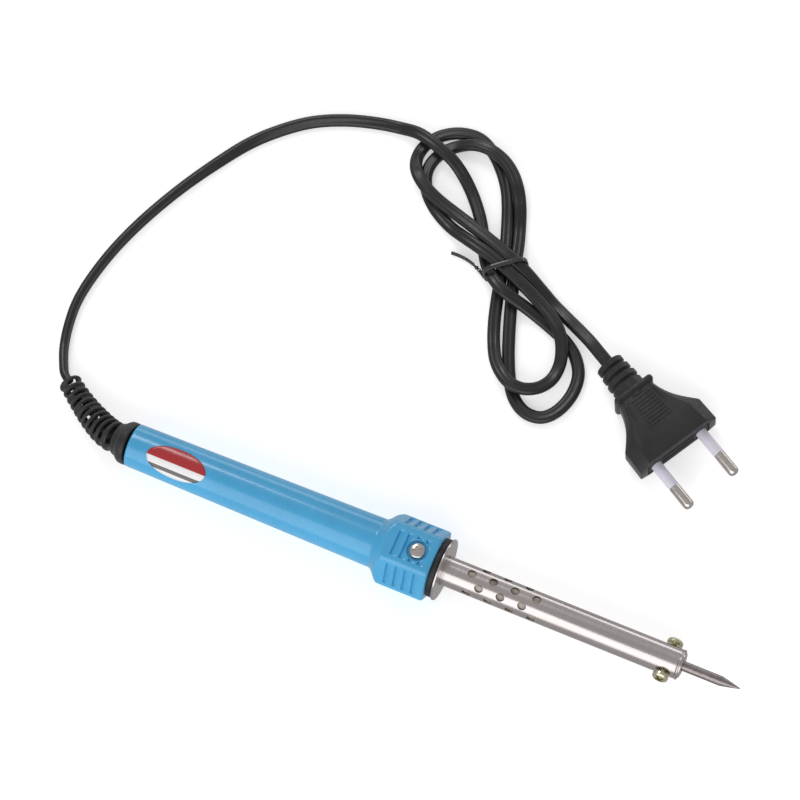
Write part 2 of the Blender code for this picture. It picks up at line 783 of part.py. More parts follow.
def build_heater():
    core = tube_profile(CORE_FRONT_X, CORE_REAR_X, CORE_OUTER, CORE_BORE)
    turned("heater_core", core, STEEL, steps=16, ring=True)
    turned(
        "mica_inner",
        tube_profile(WINDING_FRONT_X + 0.002, WINDING_REAR_X - 0.002, MICA_INNER_RADIUS, MICA_INNER_BORE),
        MICA,
        steps=16,
        ring=True,
    )
    turned(
        "mica_outer",
        tube_profile(CORE_FRONT_X, BEAD_FRONT_X + FIT, MICA_OUTER_RADIUS, MICA_OUTER_BORE),
        MICA,
        steps=16,
        ring=True,
    )
    points = []
    per_turn = 10
    for i in range(WINDING_TURNS * per_turn + 1):
        angle = math.tau * i / per_turn
        x = WINDING_REAR_X + WINDING_LENGTH * i / (WINDING_TURNS * per_turn)
        points.append((x, WINDING_RADIUS * math.sin(angle), AXIS_Z + WINDING_RADIUS * math.cos(angle)))
    wire("heater_winding", points, WINDING_WIRE, NICKEL, sides=1)
    rod = rod_profile(BEAD_FRONT_X, BEAD_REAR_X, BARREL_BORE - FIT)
    bead = turned("ceramic_bead", rod, CERAMIC, steps=20)
    bm = bmesh.new()
    for side in (-1, 1):
        middle = (BEAD_FRONT_X + BEAD_REAR_X) / 2
        add_rod(bm, LEAD_RADIUS + FIT, BEAD_LENGTH + 0.004, on_axis(middle, side * LEAD_OFFSET))
    cut(bead, from_bmesh("bead_holes", bm, None))
    ring = (MICA_INNER_RADIUS + MICA_OUTER_BORE) / 2
    for name, side in (("live", 1), ("neutral", -1)):
        lead = [
            (WINDING_REAR_X - 0.0010, side * ring, AXIS_Z),
            (CORE_REAR_X + 0.0030, side * ring, AXIS_Z),
            (CORE_REAR_X - FIT, side * ring, AXIS_Z),
            (BEAD_FRONT_X + FIT, side * LEAD_OFFSET, AXIS_Z),
            (BEAD_REAR_X - 0.0010, side * LEAD_OFFSET, AXIS_Z),
            (BLOCK_FRONT_X - 0.0060, side * LEAD_OFFSET, AXIS_Z),
        ]
        wire(f"heater_lead_{name}", lead, LEAD_RADIUS, NICKEL, sides=1)
        sleeve = tube_profile(BEAD_REAR_X - 0.001, BLOCK_FRONT_X + 0.001, SLEEVE_RADIUS, LEAD_RADIUS + FIT)
        where = on_axis(0.0, side * LEAD_OFFSET)
        turned(f"lead_sleeve_{name}", sleeve, FIBRE, where=where, steps=12, ring=True)


def build_wiring():
    middle = (BLOCK_FRONT_X + BLOCK_REAR_X) / 2
    block = box(
        "terminal_block",
        (BLOCK_LENGTH, BLOCK_WIDTH, BLOCK_HEIGHT),
        CERAMIC,
        Matrix.Translation((middle, 0.0, AXIS_Z)),
    )
    bm = bmesh.new()
    for side in (-1, 1):
        slot = (BLOCK_LENGTH + 0.004, INSERT_SIZE + 2 * FIT, INSERT_SIZE + 2 * FIT)
        add_box(bm, slot, Matrix.Translation((middle, side * LEAD_OFFSET, AXIS_Z)))
    cut(block, from_bmesh("block_channels", bm, None))
    bm = bmesh.new()
    pocket = INSERT_SIZE / 2 + 0.0020 - TERMINAL_POCKET_DEPTH
    for side in (-1, 1):
        for end in (-1, 1):
            x = middle + end * BLOCK_LENGTH / 4
            where = Matrix.Translation((x, side * LEAD_OFFSET, AXIS_Z + pocket))
            add_rod(bm, TERMINAL_SCREW_RADIUS * 2 + FIT, 0.004, where)
    cut(block, from_bmesh("block_screw_pockets", bm, None))
    for name, side in (("live", 1), ("neutral", -1)):
        insert = box(
            f"terminal_insert_{name}",
            (BLOCK_LENGTH - 0.0020, INSERT_SIZE, INSERT_SIZE),
            BRASS,
            Matrix.Translation((middle, side * LEAD_OFFSET, AXIS_Z)),
        )
        bm = bmesh.new()
        add_rod(bm, INSERT_BORE, BLOCK_LENGTH + 0.004, on_axis(middle, side * LEAD_OFFSET))
        cut(insert, from_bmesh(f"insert_bore_{name}", bm, None))
        bm = bmesh.new()
        for end in (-1, 1):
            x = middle + end * BLOCK_LENGTH / 4
            where = Matrix.Translation((x, side * LEAD_OFFSET, AXIS_Z + 0.002))
            add_rod(bm, TERMINAL_SCREW_RADIUS + FIT / 2, 0.004, where)
        cut(insert, from_bmesh(f"insert_screw_holes_{name}", bm, None))
        for end_name, end in (("rear", -1), ("front", 1)):
            x = middle + end * BLOCK_LENGTH / 4
            seat = INSERT_SIZE / 2 + FIT
            turned(
                f"terminal_screw_{name}_{end_name}",
                [
                    (TERMINAL_SCREW_HEAD, 0.0),
                    (TERMINAL_SCREW_HEAD, TERMINAL_SCREW_RADIUS * 1.8),
                    (0.0, TERMINAL_SCREW_RADIUS * 2),
                    (0.0, TERMINAL_SCREW_RADIUS),
                    (-TERMINAL_SCREW_SHANK, TERMINAL_SCREW_RADIUS),
                    (-TERMINAL_SCREW_SHANK, 0.0),
                ],
                ZINC,
                where=Matrix.Translation((x, side * LEAD_OFFSET, AXIS_Z + seat)),
                steps=12,
            )
        bare = CORE_BARE_SHARE
        spread = (GRIP_FRONT_X + BLOCK_REAR_X) / 2
        route = [
            (RELIEF_FRONT_X + FIT, side * CORE_OFFSET, 1.0),
            (GRIP_FRONT_X + 0.003, side * CORE_OFFSET, 1.0),
            (spread, side * (CORE_OFFSET + LEAD_OFFSET) / 2, 1.0),
            (BLOCK_REAR_X - 0.004, side * LEAD_OFFSET, 1.0),
            (BLOCK_REAR_X - 0.0005, side * LEAD_OFFSET, 1.0),
            (BLOCK_REAR_X - 0.0003, side * LEAD_OFFSET, bare),
            (BLOCK_REAR_X + CORE_STRIPPED, side * LEAD_OFFSET, bare),
        ]
        points = [(x, y, AXIS_Z) for x, y, share in route]
        shares = [share for x, y, share in route]
        look = BLUE if side < 0 else BROWN
        wire(f"cord_core_{name}", points, CORE_RADIUS, look, sides=1, radii=shares)
    grip = box(
        "cord_grip",
        (GRIP_LENGTH, GRIP_WIDTH, GRIP_HEIGHT),
        BLACK,
        Matrix.Translation((GRIP_FRONT_X - GRIP_LENGTH / 2, 0.0, AXIS_Z)),
    )
    bm = bmesh.new()
    for side in (-1, 1):
        where = on_axis(GRIP_FRONT_X - GRIP_LENGTH / 2, side * CORE_OFFSET)
        add_rod(bm, CORE_RADIUS + FIT, GRIP_LENGTH + 0.004, where)
    cut(grip, from_bmesh("grip_holes", bm, None))


def build_strain_relief():
    """The ribbed sleeve: a spigot in the handle, a cap of its diameter, then ribs round the bend."""
    bend = smooth_path(in_metres(RELIEF_ROUTE_MM), 60)
    reach = [0.0]
    for start, end in zip(bend, bend[1:]):
        reach.append(reach[-1] + (end - start).length)
    length = reach[-1]

    def along(distance):
        place = 0
        while place < len(reach) - 2 and reach[place + 1] < distance:
            place += 1
        share = (distance - reach[place]) / (reach[place + 1] - reach[place])
        return bend[place].lerp(bend[place + 1], share)

    cap_rear_x = REAR_X - FIT - RELIEF_CAP_LENGTH
    points = []
    radii = []
    for x, radius in (
        (RELIEF_FRONT_X, HANDLE_REAR_BORE - FIT),
        (REAR_X - FIT + 0.0001, HANDLE_REAR_BORE - FIT),
        (REAR_X - FIT, HANDLE_REAR_RADIUS - 0.0004),
        (REAR_X - FIT - 0.0005, HANDLE_REAR_RADIUS),
        (cap_rear_x + 0.0008, HANDLE_REAR_RADIUS - 0.0006),
        (cap_rear_x + 0.0001, RELIEF_BASE_RADIUS),
    ):
        points.append(Vector((x, 0.0, AXIS_Z)))
        radii.append(radius)
    pitch = length / RELIEF_RIBS
    for rib in range(RELIEF_RIBS):
        share = rib / (RELIEF_RIBS - 1)
        crest = RELIEF_BASE_RADIUS + share * (RELIEF_END_RADIUS - RELIEF_BASE_RADIUS)
        for part, radius in (
            (0.12, crest - RELIEF_RIB_HEIGHT),
            (0.36, crest - RELIEF_RIB_HEIGHT),
            (0.52, crest),
            (0.90, crest),
        ):
            points.append(along((rib + part) * pitch))
            radii.append(radius)
    points.append(along(length))
    radii.append(RELIEF_END_RADIUS - 0.0002)
    base = RELIEF_BASE_RADIUS
    wire("strain_relief", points, base, BLACK, sides=4, radii=[radius / base for radius in radii])
    return points[-2], points[-1]


def build_cord(relief_before, relief_end, plug_end, plug_ahead):
    """The cord's free run. Its ends stand a clearance off the strain relief and the plug."""
    out_of_relief = (relief_end - relief_before).normalized()
    out_of_plug = (plug_end - plug_ahead).normalized()
    start = relief_end + out_of_relief * FIT
    end = plug_end + out_of_plug * FIT
    path = smooth_path([start, *in_metres(CORD_ROUTE_MM), end], CORD_POINTS)
    points = [start, start + out_of_relief * CORD_STUB, *path[1:-1], end + out_of_plug * CORD_STUB, end]
    wire("mains_cord", points, CORD_TUBE_RADIUS, CORD, sides=2)


def build_tie():
    """A strap round the five strands where they cross, with its tail."""
    half, corner = TIE_HALF_LENGTH, TIE_CORNER

    def rounded(inset):
        points = []
        for corner_x, corner_y, first in (
            (half - corner, TIE_TOP - corner, 0.0),
            (corner - half, TIE_TOP - corner, 90.0),
            (corner - half, TIE_BOTTOM + corner, 180.0),
            (half - corner, TIE_BOTTOM + corner, 270.0),
        ):
            for step in range(5):
                angle = math.radians(first + step * 22.5)
                radius = corner - inset
                points.append((corner_x + radius * math.cos(angle), corner_y + radius * math.sin(angle)))
        return points

    stand = Matrix.Rotation(TIE_HEADING, 4, "Z") @ Matrix.Rotation(math.pi / 2, 4, "X")
    where = Matrix.Translation(TIE_CENTRE) @ stand
    loop = as_mesh(outline("cord_tie", [rounded(0.0), rounded(TIE_STRAP)], TIE_WIDTH / 2, CORD, where))
    across = Vector((math.cos(TIE_HEADING), math.sin(TIE_HEADING), 0.0))
    tail_root = TIE_CENTRE - across * (half - TIE_STRAP / 2)
    run = TIE_TAIL_END - tail_root
    turn = Matrix.Rotation(math.atan2(run.y, run.x), 4, "Z")
    lift = Matrix.Translation(tail_root + Vector((0.0, 0.0, TIE_TAIL_HEIGHT))) @ turn
    tail = box(
        "tie_tail",
        (run.length, TIE_STRAP * 0.9, TIE_WIDTH * 0.8),
        None,
        lift @ Matrix.Translation((run.length / 2, 0.0, 0.0)),
    )
    cut(loop, tail, "UNION")


def plug_frame(along=0.0, across=0.0):
    """A frame whose X points where the pins point, from the middle of the plug's face."""
    turn = Matrix.Rotation(PLUG_HEADING, 4, "Z")
    return Matrix.Translation(PLUG_FACE) @ turn @ Matrix.Translation((along, across, 0.0))


def build_plug():
    half = PLUG_HALF_WIDTH
    waist = PLUG_WAIST_HALF
    side = [(0.0, half), (-PLUG_STRAIGHT, half - 0.0002)]
    neck = PLUG_LENGTH - PLUG_STRAIGHT
    for step in range(1, 6):
        share = step / 5
        dip = math.sin(share * math.pi) * PLUG_SIDE_HOLLOW
        side.append((-PLUG_STRAIGHT - neck * share, half + (waist - half) * share - dip))
    outer = side + [(x, -y) for x, y in reversed(side)]
    body = outline("plug_body", [outer], PLUG_THICKNESS / 2, BLACK, plug_frame())
    body = as_mesh(body)
    base, end = PLUG_RELIEF_BASE, PLUG_RELIEF_END
    profile = [(-PLUG_LENGTH + 0.002, 0.0), (-PLUG_LENGTH + 0.002, base)]
    rings, groove = PLUG_RELIEF_RINGS, PLUG_RELIEF_GROOVE
    pitch = PLUG_RELIEF_LENGTH / rings
    for ring in range(rings):
        crest = base + (end - base) * ring / (rings - 1)
        start = -PLUG_LENGTH - ring * pitch
        profile.append((start - 0.15 * pitch, crest - groove))
        profile.append((start - 0.40 * pitch, crest - groove))
        profile.append((start - 0.50 * pitch, crest))
        profile.append((start - 1.00 * pitch, crest))
    profile.append((-PLUG_LENGTH - PLUG_RELIEF_LENGTH, 0.0))
    relief = turned("plug_relief", profile, None, where=plug_frame() @ ALONG_X, steps=16)
    cut(body, relief, "UNION")
    pocket = (2 * (CARRIER_DEPTH + FIT), CARRIER_WIDTH + 2 * FIT, CARRIER_HEIGHT + 2 * FIT)
    cut(body, box("plug_pocket", pocket, None, plug_frame()))
    carrier = box(
        "pin_carrier",
        (CARRIER_DEPTH, CARRIER_WIDTH, CARRIER_HEIGHT),
        BLACK,
        plug_frame(-CARRIER_DEPTH / 2),
    )
    bm = bmesh.new()
    for sign in (-1, 1):
        where = plug_frame(0.0, sign * PIN_SPACING / 2) @ ALONG_X
        add_rod(bm, PIN_RADIUS + FIT, 2 * CARRIER_DEPTH, where, 16)
    cut(carrier, from_bmesh("pin_holes", bm, None))
    shank = PIN_RADIUS - PIN_SLEEVE_WALL - FIT
    collar = PIN_SLEEVE_LENGTH + FIT
    for name, sign in (("live", -1), ("neutral", 1)):
        where = plug_frame(0.0, sign * PIN_SPACING / 2) @ ALONG_X
        turned(
            f"plug_pin_{name}",
            [
                (PIN_LENGTH, 0.0),
                (PIN_LENGTH, PIN_RADIUS * 0.5),
                (PIN_LENGTH - 0.0008, PIN_RADIUS * 0.92),
                (PIN_LENGTH - 0.0018, PIN_RADIUS),
                (collar, PIN_RADIUS),
                (collar, shank),
                (-PIN_ROOT, shank),
                (-PIN_ROOT, 0.0),
            ],
            NICKEL,
            where=where,
            steps=16,
        )
        sleeve = tube_profile(PIN_SLEEVE_LENGTH, 0.002 - PIN_ROOT, PIN_RADIUS, PIN_RADIUS - PIN_SLEEVE_WALL)
        turned(f"pin_sleeve_{name}", sleeve, PALE, where=where, steps=16, ring=True)
    frame = plug_frame()
    rear = frame @ Vector((-PLUG_LENGTH - PLUG_RELIEF_LENGTH, 0.0, 0.0))
    ahead = frame @ Vector((-PLUG_LENGTH, 0.0, 0.0))
    return rear, ahead


clear_scene()
PARTS = new_collection("soldering_iron")
CUTTERS = new_collection("cutters")
BLUE = finish("blue_moulding", (0.09, 0.42, 0.71), 0.30)
BLACK = finish("black_moulding", (0.028, 0.028, 0.032), 0.55)
CORD = finish("cord_jacket", (0.035, 0.035, 0.040), 0.45)
STEEL = finish("brushed_steel", (0.52, 0.49, 0.47), 0.32, 1.0)
IRON = finish("plated_bit", (0.42, 0.40, 0.38), 0.38, 1.0)
ZINC = finish("yellow_zinc", (0.66, 0.58, 0.38), 0.30, 1.0)
NICKEL = finish("nickel", (0.66, 0.64, 0.60), 0.25, 1.0)
BRASS = finish("brass", (0.72, 0.52, 0.22), 0.30, 1.0)
MICA = finish("mica", (0.36, 0.30, 0.24), 0.50)
CERAMIC = finish("ceramic", (0.80, 0.78, 0.72), 0.45)
FIBRE = finish("glass_fibre", (0.72, 0.68, 0.58), 0.80)
BROWN = finish("brown_core", (0.22, 0.09, 0.04), 0.45)
PALE = finish("pale_sleeve", (0.74, 0.71, 0.82), 0.40)
LABEL = finish("label_film", (0.42, 0.03, 0.04), 0.30)

build_handle()
build_label()
build_front_stack()
build_barrel()
build_bit()
build_heater()
build_wiring()
relief_before, relief_end = build_strain_relief()
plug_rear, plug_ahead = build_plug()
build_cord(relief_before, relief_end, plug_rear, plug_ahead)
build_tie()
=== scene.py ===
"""Soldering iron: the finished look of every piece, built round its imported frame."""

import json
import math

import bmesh
import bpy
from bpy.props import FloatProperty, FloatVectorProperty, IntProperty, PointerProperty
from mathutils import Matrix, Vector


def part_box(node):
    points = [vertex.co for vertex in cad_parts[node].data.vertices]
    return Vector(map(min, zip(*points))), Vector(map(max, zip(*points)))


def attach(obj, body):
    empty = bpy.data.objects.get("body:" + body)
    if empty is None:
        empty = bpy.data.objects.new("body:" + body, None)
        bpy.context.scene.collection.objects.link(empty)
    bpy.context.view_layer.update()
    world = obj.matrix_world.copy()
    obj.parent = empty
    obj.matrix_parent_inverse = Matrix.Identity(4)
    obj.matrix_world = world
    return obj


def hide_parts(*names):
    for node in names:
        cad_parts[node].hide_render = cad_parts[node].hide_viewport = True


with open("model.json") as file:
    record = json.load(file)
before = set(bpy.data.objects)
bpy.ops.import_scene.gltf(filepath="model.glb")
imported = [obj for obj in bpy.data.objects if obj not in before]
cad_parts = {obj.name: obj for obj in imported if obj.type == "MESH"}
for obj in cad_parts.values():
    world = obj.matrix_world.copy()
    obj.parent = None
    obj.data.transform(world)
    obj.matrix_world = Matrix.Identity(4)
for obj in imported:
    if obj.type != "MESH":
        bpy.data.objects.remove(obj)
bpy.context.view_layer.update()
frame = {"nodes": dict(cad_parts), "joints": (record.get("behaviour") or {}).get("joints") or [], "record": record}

bl_info = {
    "name": "Soldering Iron Looks",
    "version": (1, 0, 0),
    "blender": (4, 5, 0),
    "location": "3D View > Sidebar > Soldering Iron",
    "description": "Builds the detailed pieces, the finishes and the stage of a mains soldering iron",
    "category": "Object",
}

MM = 0.001
MERGE_DISTANCE = 0.000001

# Places taken from the frame
HANDLE_LOW, HANDLE_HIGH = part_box("handle_shell")
BARREL_LOW, BARREL_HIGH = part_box("barrel_tube")
DISC_LOW, DISC_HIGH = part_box("front_insulator")
FLANGE_LOW, FLANGE_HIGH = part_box("barrel_flange")
BUSH_LOW, BUSH_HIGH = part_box("bit_bush")
BIT_LOW, BIT_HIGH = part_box("soldering_bit")
LABEL_LOW, LABEL_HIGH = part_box("rating_label")
AXIS_Z = (HANDLE_LOW.z + HANDLE_HIGH.z) / 2
COLLAR_APOTHEM = (HANDLE_HIGH.z - HANDLE_LOW.z) / 2
COLLAR_CORNER = (HANDLE_HIGH.y - HANDLE_LOW.y) / 2
REAR_X = HANDLE_LOW.x
COLLAR_FRONT_X = HANDLE_HIGH.x
BIT_RADIUS = (BIT_HIGH.y - BIT_LOW.y) / 2
JOINTS = {joint["name"]: joint for joint in frame["joints"]}
PLUG_MOUNT = next(mount for mount in frame["record"]["mounts"] if mount["name"] == "plug_pins")

# Handle and collar
HANDLE_REAR_RADIUS = 7.8 * MM
HANDLE_FRONT_RADIUS = 8.9 * MM
COLLAR_REAR_X = COLLAR_FRONT_X - 16.8 * MM
FLARE_START_X = COLLAR_REAR_X - 5.5 * MM
GROOVE_SETBACK = 4.6 * MM
GROOVE_SLOPE = 2.3 * MM
GROOVE_LIP = 0.12 * MM
GROOVE_HALF_SPAN = 4.9 * MM
SCREW_X = JOINTS["collar_screw_turn"]["pos_m"][0]
RECESS_DEPTH = 1.3 * MM
SCREW_HOLE_RADIUS = 1.7 * MM
FRONT_ROUND = 0.8 * MM
FRONT_BORE = 7.2 * MM
REAR_BORE = 6.1 * MM

# Barrel and its vents
BARREL_RADIUS = 5.25 * MM
BARREL_WALL = 0.5 * MM
LIP_RADIUS = 0.35 * MM
VENT_ROWS = 8
VENTS_IN_ROW = 4
VENT_ROLL = math.radians(-13.0)
VENT_FIRST = 9.9 * MM
VENT_PITCH = 8.0 * MM

# Label, bit and tie
LABEL_ROLL = math.radians(19.0)
LABEL_HALF_WIDTH = 5.6 * MM
FILM_THICKNESS = 0.15 * MM
BIT_CONE = 7.0 * MM
TIE_HEADING = math.radians(39.0)
TIE_CENTRE_MM = (-20.3, 111.8, 0.0)
TIE_BOW_MM = (-33.5, 112.4, 1.2)
TIE_END_MM = (-41.6, 111.6, 1.4)

# Plug
PLUG_BODY = 26.0 * MM
PLUG_RELIEF = 13.7 * MM
PLUG_SHOULDER = 9.3 * MM
PLUG_DROP = 1.2 * MM
PLUG_HALF_THICKNESS = 6.85 * MM
PIN_HALF_SPACING = 9.8 * MM

# Camera
TILT_SIDE = math.radians(12.0)
TILT_BACK = math.radians(16.0)
CAMERA_ROLL = math.radians(22.23)
CAMERA_DISTANCE = 1.2
CAMERA_TARGET = (-0.03646, 0.05408, 0.0)
LENS_MM = 152.89
TABLE_WHITE = (0.93, 0.93, 0.93)

# Area lights: name, place, size, power in watts
LIGHTS = (
    ("near_softbox", (0.1, -1.03, 0.64), (1.9, 1.3), 10.5),
    ("far_softbox", (-0.1, 1.2, 0.17), (2.4, 0.34), 3.5),
    ("high_softbox", (-0.7, 0.75, 1.2), (0.5, 0.5), 4.0),
)

# One rib of the strain relief: (share of the pitch, depth below its crest in millimetres)
RIB_PROFILE = ((0.0, 0.85), (0.2, 0.95), (0.4, 0.85), (0.46, 0.35), (0.58, 0.03), (0.76, 0.0), (0.92, 0.3))
RIB_SLOT_END = 0.4
LONG_SLOTS = 5
FIRST_RIB = 6.3 * MM
RELIEF_WALL = 1.2 * MM
# The plain cap before the ribs: (place, radius) in millimetres
RELIEF_CAP = (
    (0.0, 7.0), (0.05, 7.4), (0.35, 7.72), (0.9, 7.8), (2.2, 7.8), (2.9, 7.62),
    (3.5, 7.2), (4.1, 6.6), (4.7, 6.15), (5.3, 5.9), (5.9, 5.8),
)

# Filled in as the pieces are made
FINISHES = {}
CORD = {}

# The cord's twist about its own length: (share of the length, degrees from lying flat)
CORD_TWIST = [(0.0, 84), (0.10, 78), (0.17, 40), (0.24, 8), (0.45, 4), (0.62, 10), (0.80, 4), (1.0, 2)]

# Centre line of the strain relief behind the handle, then of the cord (millimetres)
RELIEF_ROUTE_MM = [
    (-118.1, 0.0, 11.8), (-122.0, 0.3, 11.2), (-127.0, 2.0, 9.6), (-134.0, 5.6, 7.4),
    (-141.0, 10.0, 5.5), (-147.3, 14.4, 4.5),
]

CORD_ROUTE_MM = [
    (-151.6, 18.4, 3.8), (-155.3, 25.8, 2.7), (-157.6, 34.5, 2.0), (-158.6, 44.0, 1.85),
    (-157.5, 55.0, 1.85), (-154.5, 68.0, 1.85), (-149.5, 82.0, 1.85), (-142.5, 97.0, 1.85),
    (-134.5, 111.0, 1.85), (-126.5, 123.0, 1.85), (-118.0, 132.0, 1.85), (-108.5, 139.3, 1.85),
    (-97.5, 144.5, 1.85), (-86.0, 147.8, 1.85), (-77.5, 149.0, 2.4), (-70.5, 148.6, 4.9),
    (-64.5, 147.0, 5.9), (-59.5, 145.2, 5.9), (-54.0, 143.0, 5.3), (-48.5, 139.6, 2.9),
    (-43.0, 134.6, 1.85), (-37.8, 128.4, 1.85), (-33.8, 122.2, 1.85), (-30.8, 116.4, 2.0),
    (-27.5, 111.4, 3.2), (-23.5, 107.2, 6.2), (-19.0, 104.2, 7.0), (-14.0, 102.4, 6.5),
    (-8.5, 101.6, 4.1), (-3.0, 100.4, 2.2), (3.5, 98.2, 1.85), (9.8, 95.5, 1.85), (15.2, 91.3, 1.85),
    (18.7, 85.3, 1.85), (19.2, 78.0, 1.85), (17.0, 71.0, 1.85), (12.8, 66.5, 1.85), (7.0, 65.9, 1.85),
    (1.6, 68.8, 1.85), (-2.8, 74.4, 1.85), (-6.9, 82.6, 1.85), (-10.6, 92.0, 1.85), (-13.8, 101.2, 2.0),
    (-16.0, 108.3, 3.1), (-18.2, 115.2, 3.1), (-20.2, 122.6, 2.4), (-22.6, 129.6, 1.9),
    (-25.0, 135.8, 3.1), (-28.0, 141.3, 5.6), (-32.5, 146.6, 5.9), (-38.0, 150.3, 5.9),
    (-44.2, 152.0, 5.9), (-50.2, 151.9, 4.5), (-55.8, 149.9, 2.2), (-59.8, 146.0, 1.85),
    (-61.9, 141.2, 1.85), (-62.0, 136.2, 1.85), (-60.0, 131.4, 1.85), (-56.5, 127.2, 1.85),
    (-51.5, 123.4, 1.9), (-45.0, 120.0, 2.7), (-38.5, 117.5, 5.2), (-32.0, 115.5, 6.6),
    (-26.0, 113.7, 6.9), (-20.5, 111.6, 6.9), (-14.5, 109.2, 6.7), (-8.5, 106.7, 6.2),
    (-3.0, 103.9, 5.9), (2.2, 100.9, 6.1), (6.6, 97.0, 6.1), (9.6, 92.2, 5.2), (11.2, 86.6, 3.6),
    (10.8, 80.6, 3.4), (8.0, 75.6, 4.6), (3.4, 72.7, 5.8), (-1.8, 72.7, 6.2), (-6.4, 75.3, 5.7),
    (-10.6, 79.8, 4.0), (-14.1, 86.2, 2.2), (-16.8, 93.0, 1.85), (-18.9, 100.0, 2.0),
    (-20.6, 107.0, 2.7), (-22.3, 114.0, 3.2), (-24.4, 121.4, 2.4), (-27.0, 128.6, 1.85),
    (-29.8, 135.6, 1.85), (-33.0, 141.8, 1.85), (-37.4, 147.6, 1.85), (-42.8, 152.6, 1.85),
    (-49.4, 155.9, 1.85), (-56.4, 155.4, 1.85), (-62.4, 152.2, 1.85), (-66.3, 147.4, 1.85),
    (-67.6, 142.4, 2.1), (-66.6, 137.6, 3.9), (-63.8, 133.4, 5.8), (-59.0, 129.8, 5.9),
    (-52.6, 127.0, 5.5), (-45.6, 124.8, 5.4), (-38.8, 122.6, 5.9), (-32.2, 120.4, 6.6),
    (-25.4, 118.0, 6.9), (-19.0, 115.7, 6.9), (-13.0, 113.3, 5.8), (-7.0, 110.6, 3.3),
    (0.0, 107.0, 2.0), (6.8, 103.6, 3.0), (13.0, 100.3, 5.2), (18.3, 97.4, 6.7), (23.0, 94.7, 6.9),
]


# ---------------------------------------------------------------- shapes


def mm(*sizes):
    """The sizes, given in millimetres, in metres."""
    return tuple(size * MM for size in sizes)


def along_iron():
    """A place whose Z runs along the iron towards the point of the bit."""
    return Matrix.Translation((0.0, 0.0, AXIS_Z)) @ Matrix.Rotation(math.pi / 2, 4, "Y")


def pointing(place, axis):
    """A place whose Z runs along the axis."""
    turn = Vector(axis).normalized().to_track_quat("Z", "Y").to_matrix().to_4x4()
    return Matrix.Translation(place) @ turn


def clean(bm):
    bmesh.ops.remove_doubles(bm, verts=bm.verts, dist=MERGE_DISTANCE)
    bmesh.ops.recalc_face_normals(bm, faces=bm.faces)


def add_object(name, data):
    """Puts the data in the scene as an object."""
    obj = bpy.data.objects.new(name, data)
    bpy.context.scene.collection.objects.link(obj)
    return obj


def mesh_from(name, bm):
    """The bmesh as a mesh, after which the bmesh is gone."""
    mesh = bpy.data.meshes.new(name)
    bm.to_mesh(mesh)
    bm.free()
    return mesh


def turn_profile(bm, profile, steps=96, closed=False, place=Matrix.Identity(4)):
    """Adds a turned shape. The profile holds (place along the axis, radius)."""
    verts = [bm.verts.new((radius, 0.0, along)) for along, radius in profile]
    pairs = list(zip(verts, verts[1:]))
    if closed:
        pairs.append((verts[-1], verts[0]))
    edges = [bm.edges.new(pair) for pair in pairs]
    kept = set(bm.verts) - set(verts)
    bmesh.ops.spin(
        bm,
        geom=verts + edges,
        cent=(0.0, 0.0, 0.0),
        axis=(0.0, 0.0, 1.0),
        angle=math.tau,
        steps=steps,
        use_merge=True,
    )
    made = [vert for vert in bm.verts if vert not in kept]
    bmesh.ops.remove_doubles(bm, verts=made, dist=MERGE_DISTANCE)
    made = [vert for vert in bm.verts if vert not in kept]
    bmesh.ops.transform(bm, matrix=place, verts=made)


def turned(profile, steps, closed=False, place=None):
    """A clean bmesh turned about the iron's axis, or about the Z of another place."""
    bm = bmesh.new()
    turn_profile(bm, profile, steps, closed, along_iron() if place is None else place)
    clean(bm)
    return bm


def add_block(bm, size, place, bevel=0.0, segments=2):
    """Adds a box with rounded edges."""
    verts = bmesh.ops.create_cube(bm, size=1.0)["verts"]
    bmesh.ops.transform(bm, matrix=place @ Matrix.Diagonal((*size, 1.0)), verts=verts)
    if bevel:
        edges = list({edge for vert in verts for edge in vert.link_edges})
        round_edges(bm, edges, bevel, segments)


def round_edges(bm, edges, width, segments):
    bmesh.ops.bevel(
        bm,
        geom=edges,
        offset=width,
        segments=segments,
        profile=0.5,
        affect="EDGES",
        material=-1,
        clamp_overlap=True,
    )


def sweep(bm, frames, section, closed=False):
    """Draws a flat section through the frames. Each frame's X and Y carry the section."""
    verts = [bm.verts.new(frames[0] @ Vector((x, y, 0.0))) for x, y in section]
    first = [bm.edges.new((verts[i - 1], verts[i])) for i in range(len(verts))]
    edges = first
    for before, after in zip(frames, frames[1:]):
        made = bmesh.ops.extrude_edge_only(bm, edges=edges)["geom"]
        moved = {item for item in made if isinstance(item, bmesh.types.BMVert)}
        lines = [item for item in made if isinstance(item, bmesh.types.BMEdge)]
        edges = [line for line in lines if all(vert in moved for vert in line.verts)]
        bmesh.ops.transform(bm, matrix=after @ before.inverted(), verts=list(moved))
    if closed:
        bmesh.ops.bridge_loops(bm, edges=first + edges)
    else:
        bmesh.ops.contextual_create(bm, geom=first)
        bmesh.ops.contextual_create(bm, geom=edges)


def rounded_section(width, height, corner, steps=4):
    """A rectangle with round corners, as points."""
    points = []
    for turn, (sx, sy) in enumerate(((1, 1), (-1, 1), (-1, -1), (1, -1))):
        for step in range(steps + 1):
            angle = math.pi / 2 * (turn + step / steps)
            x = sx * (width / 2 - corner) + corner * math.cos(angle)
            y = sy * (height / 2 - corner) + corner * math.sin(angle)
            points.append((x, y))
    return points


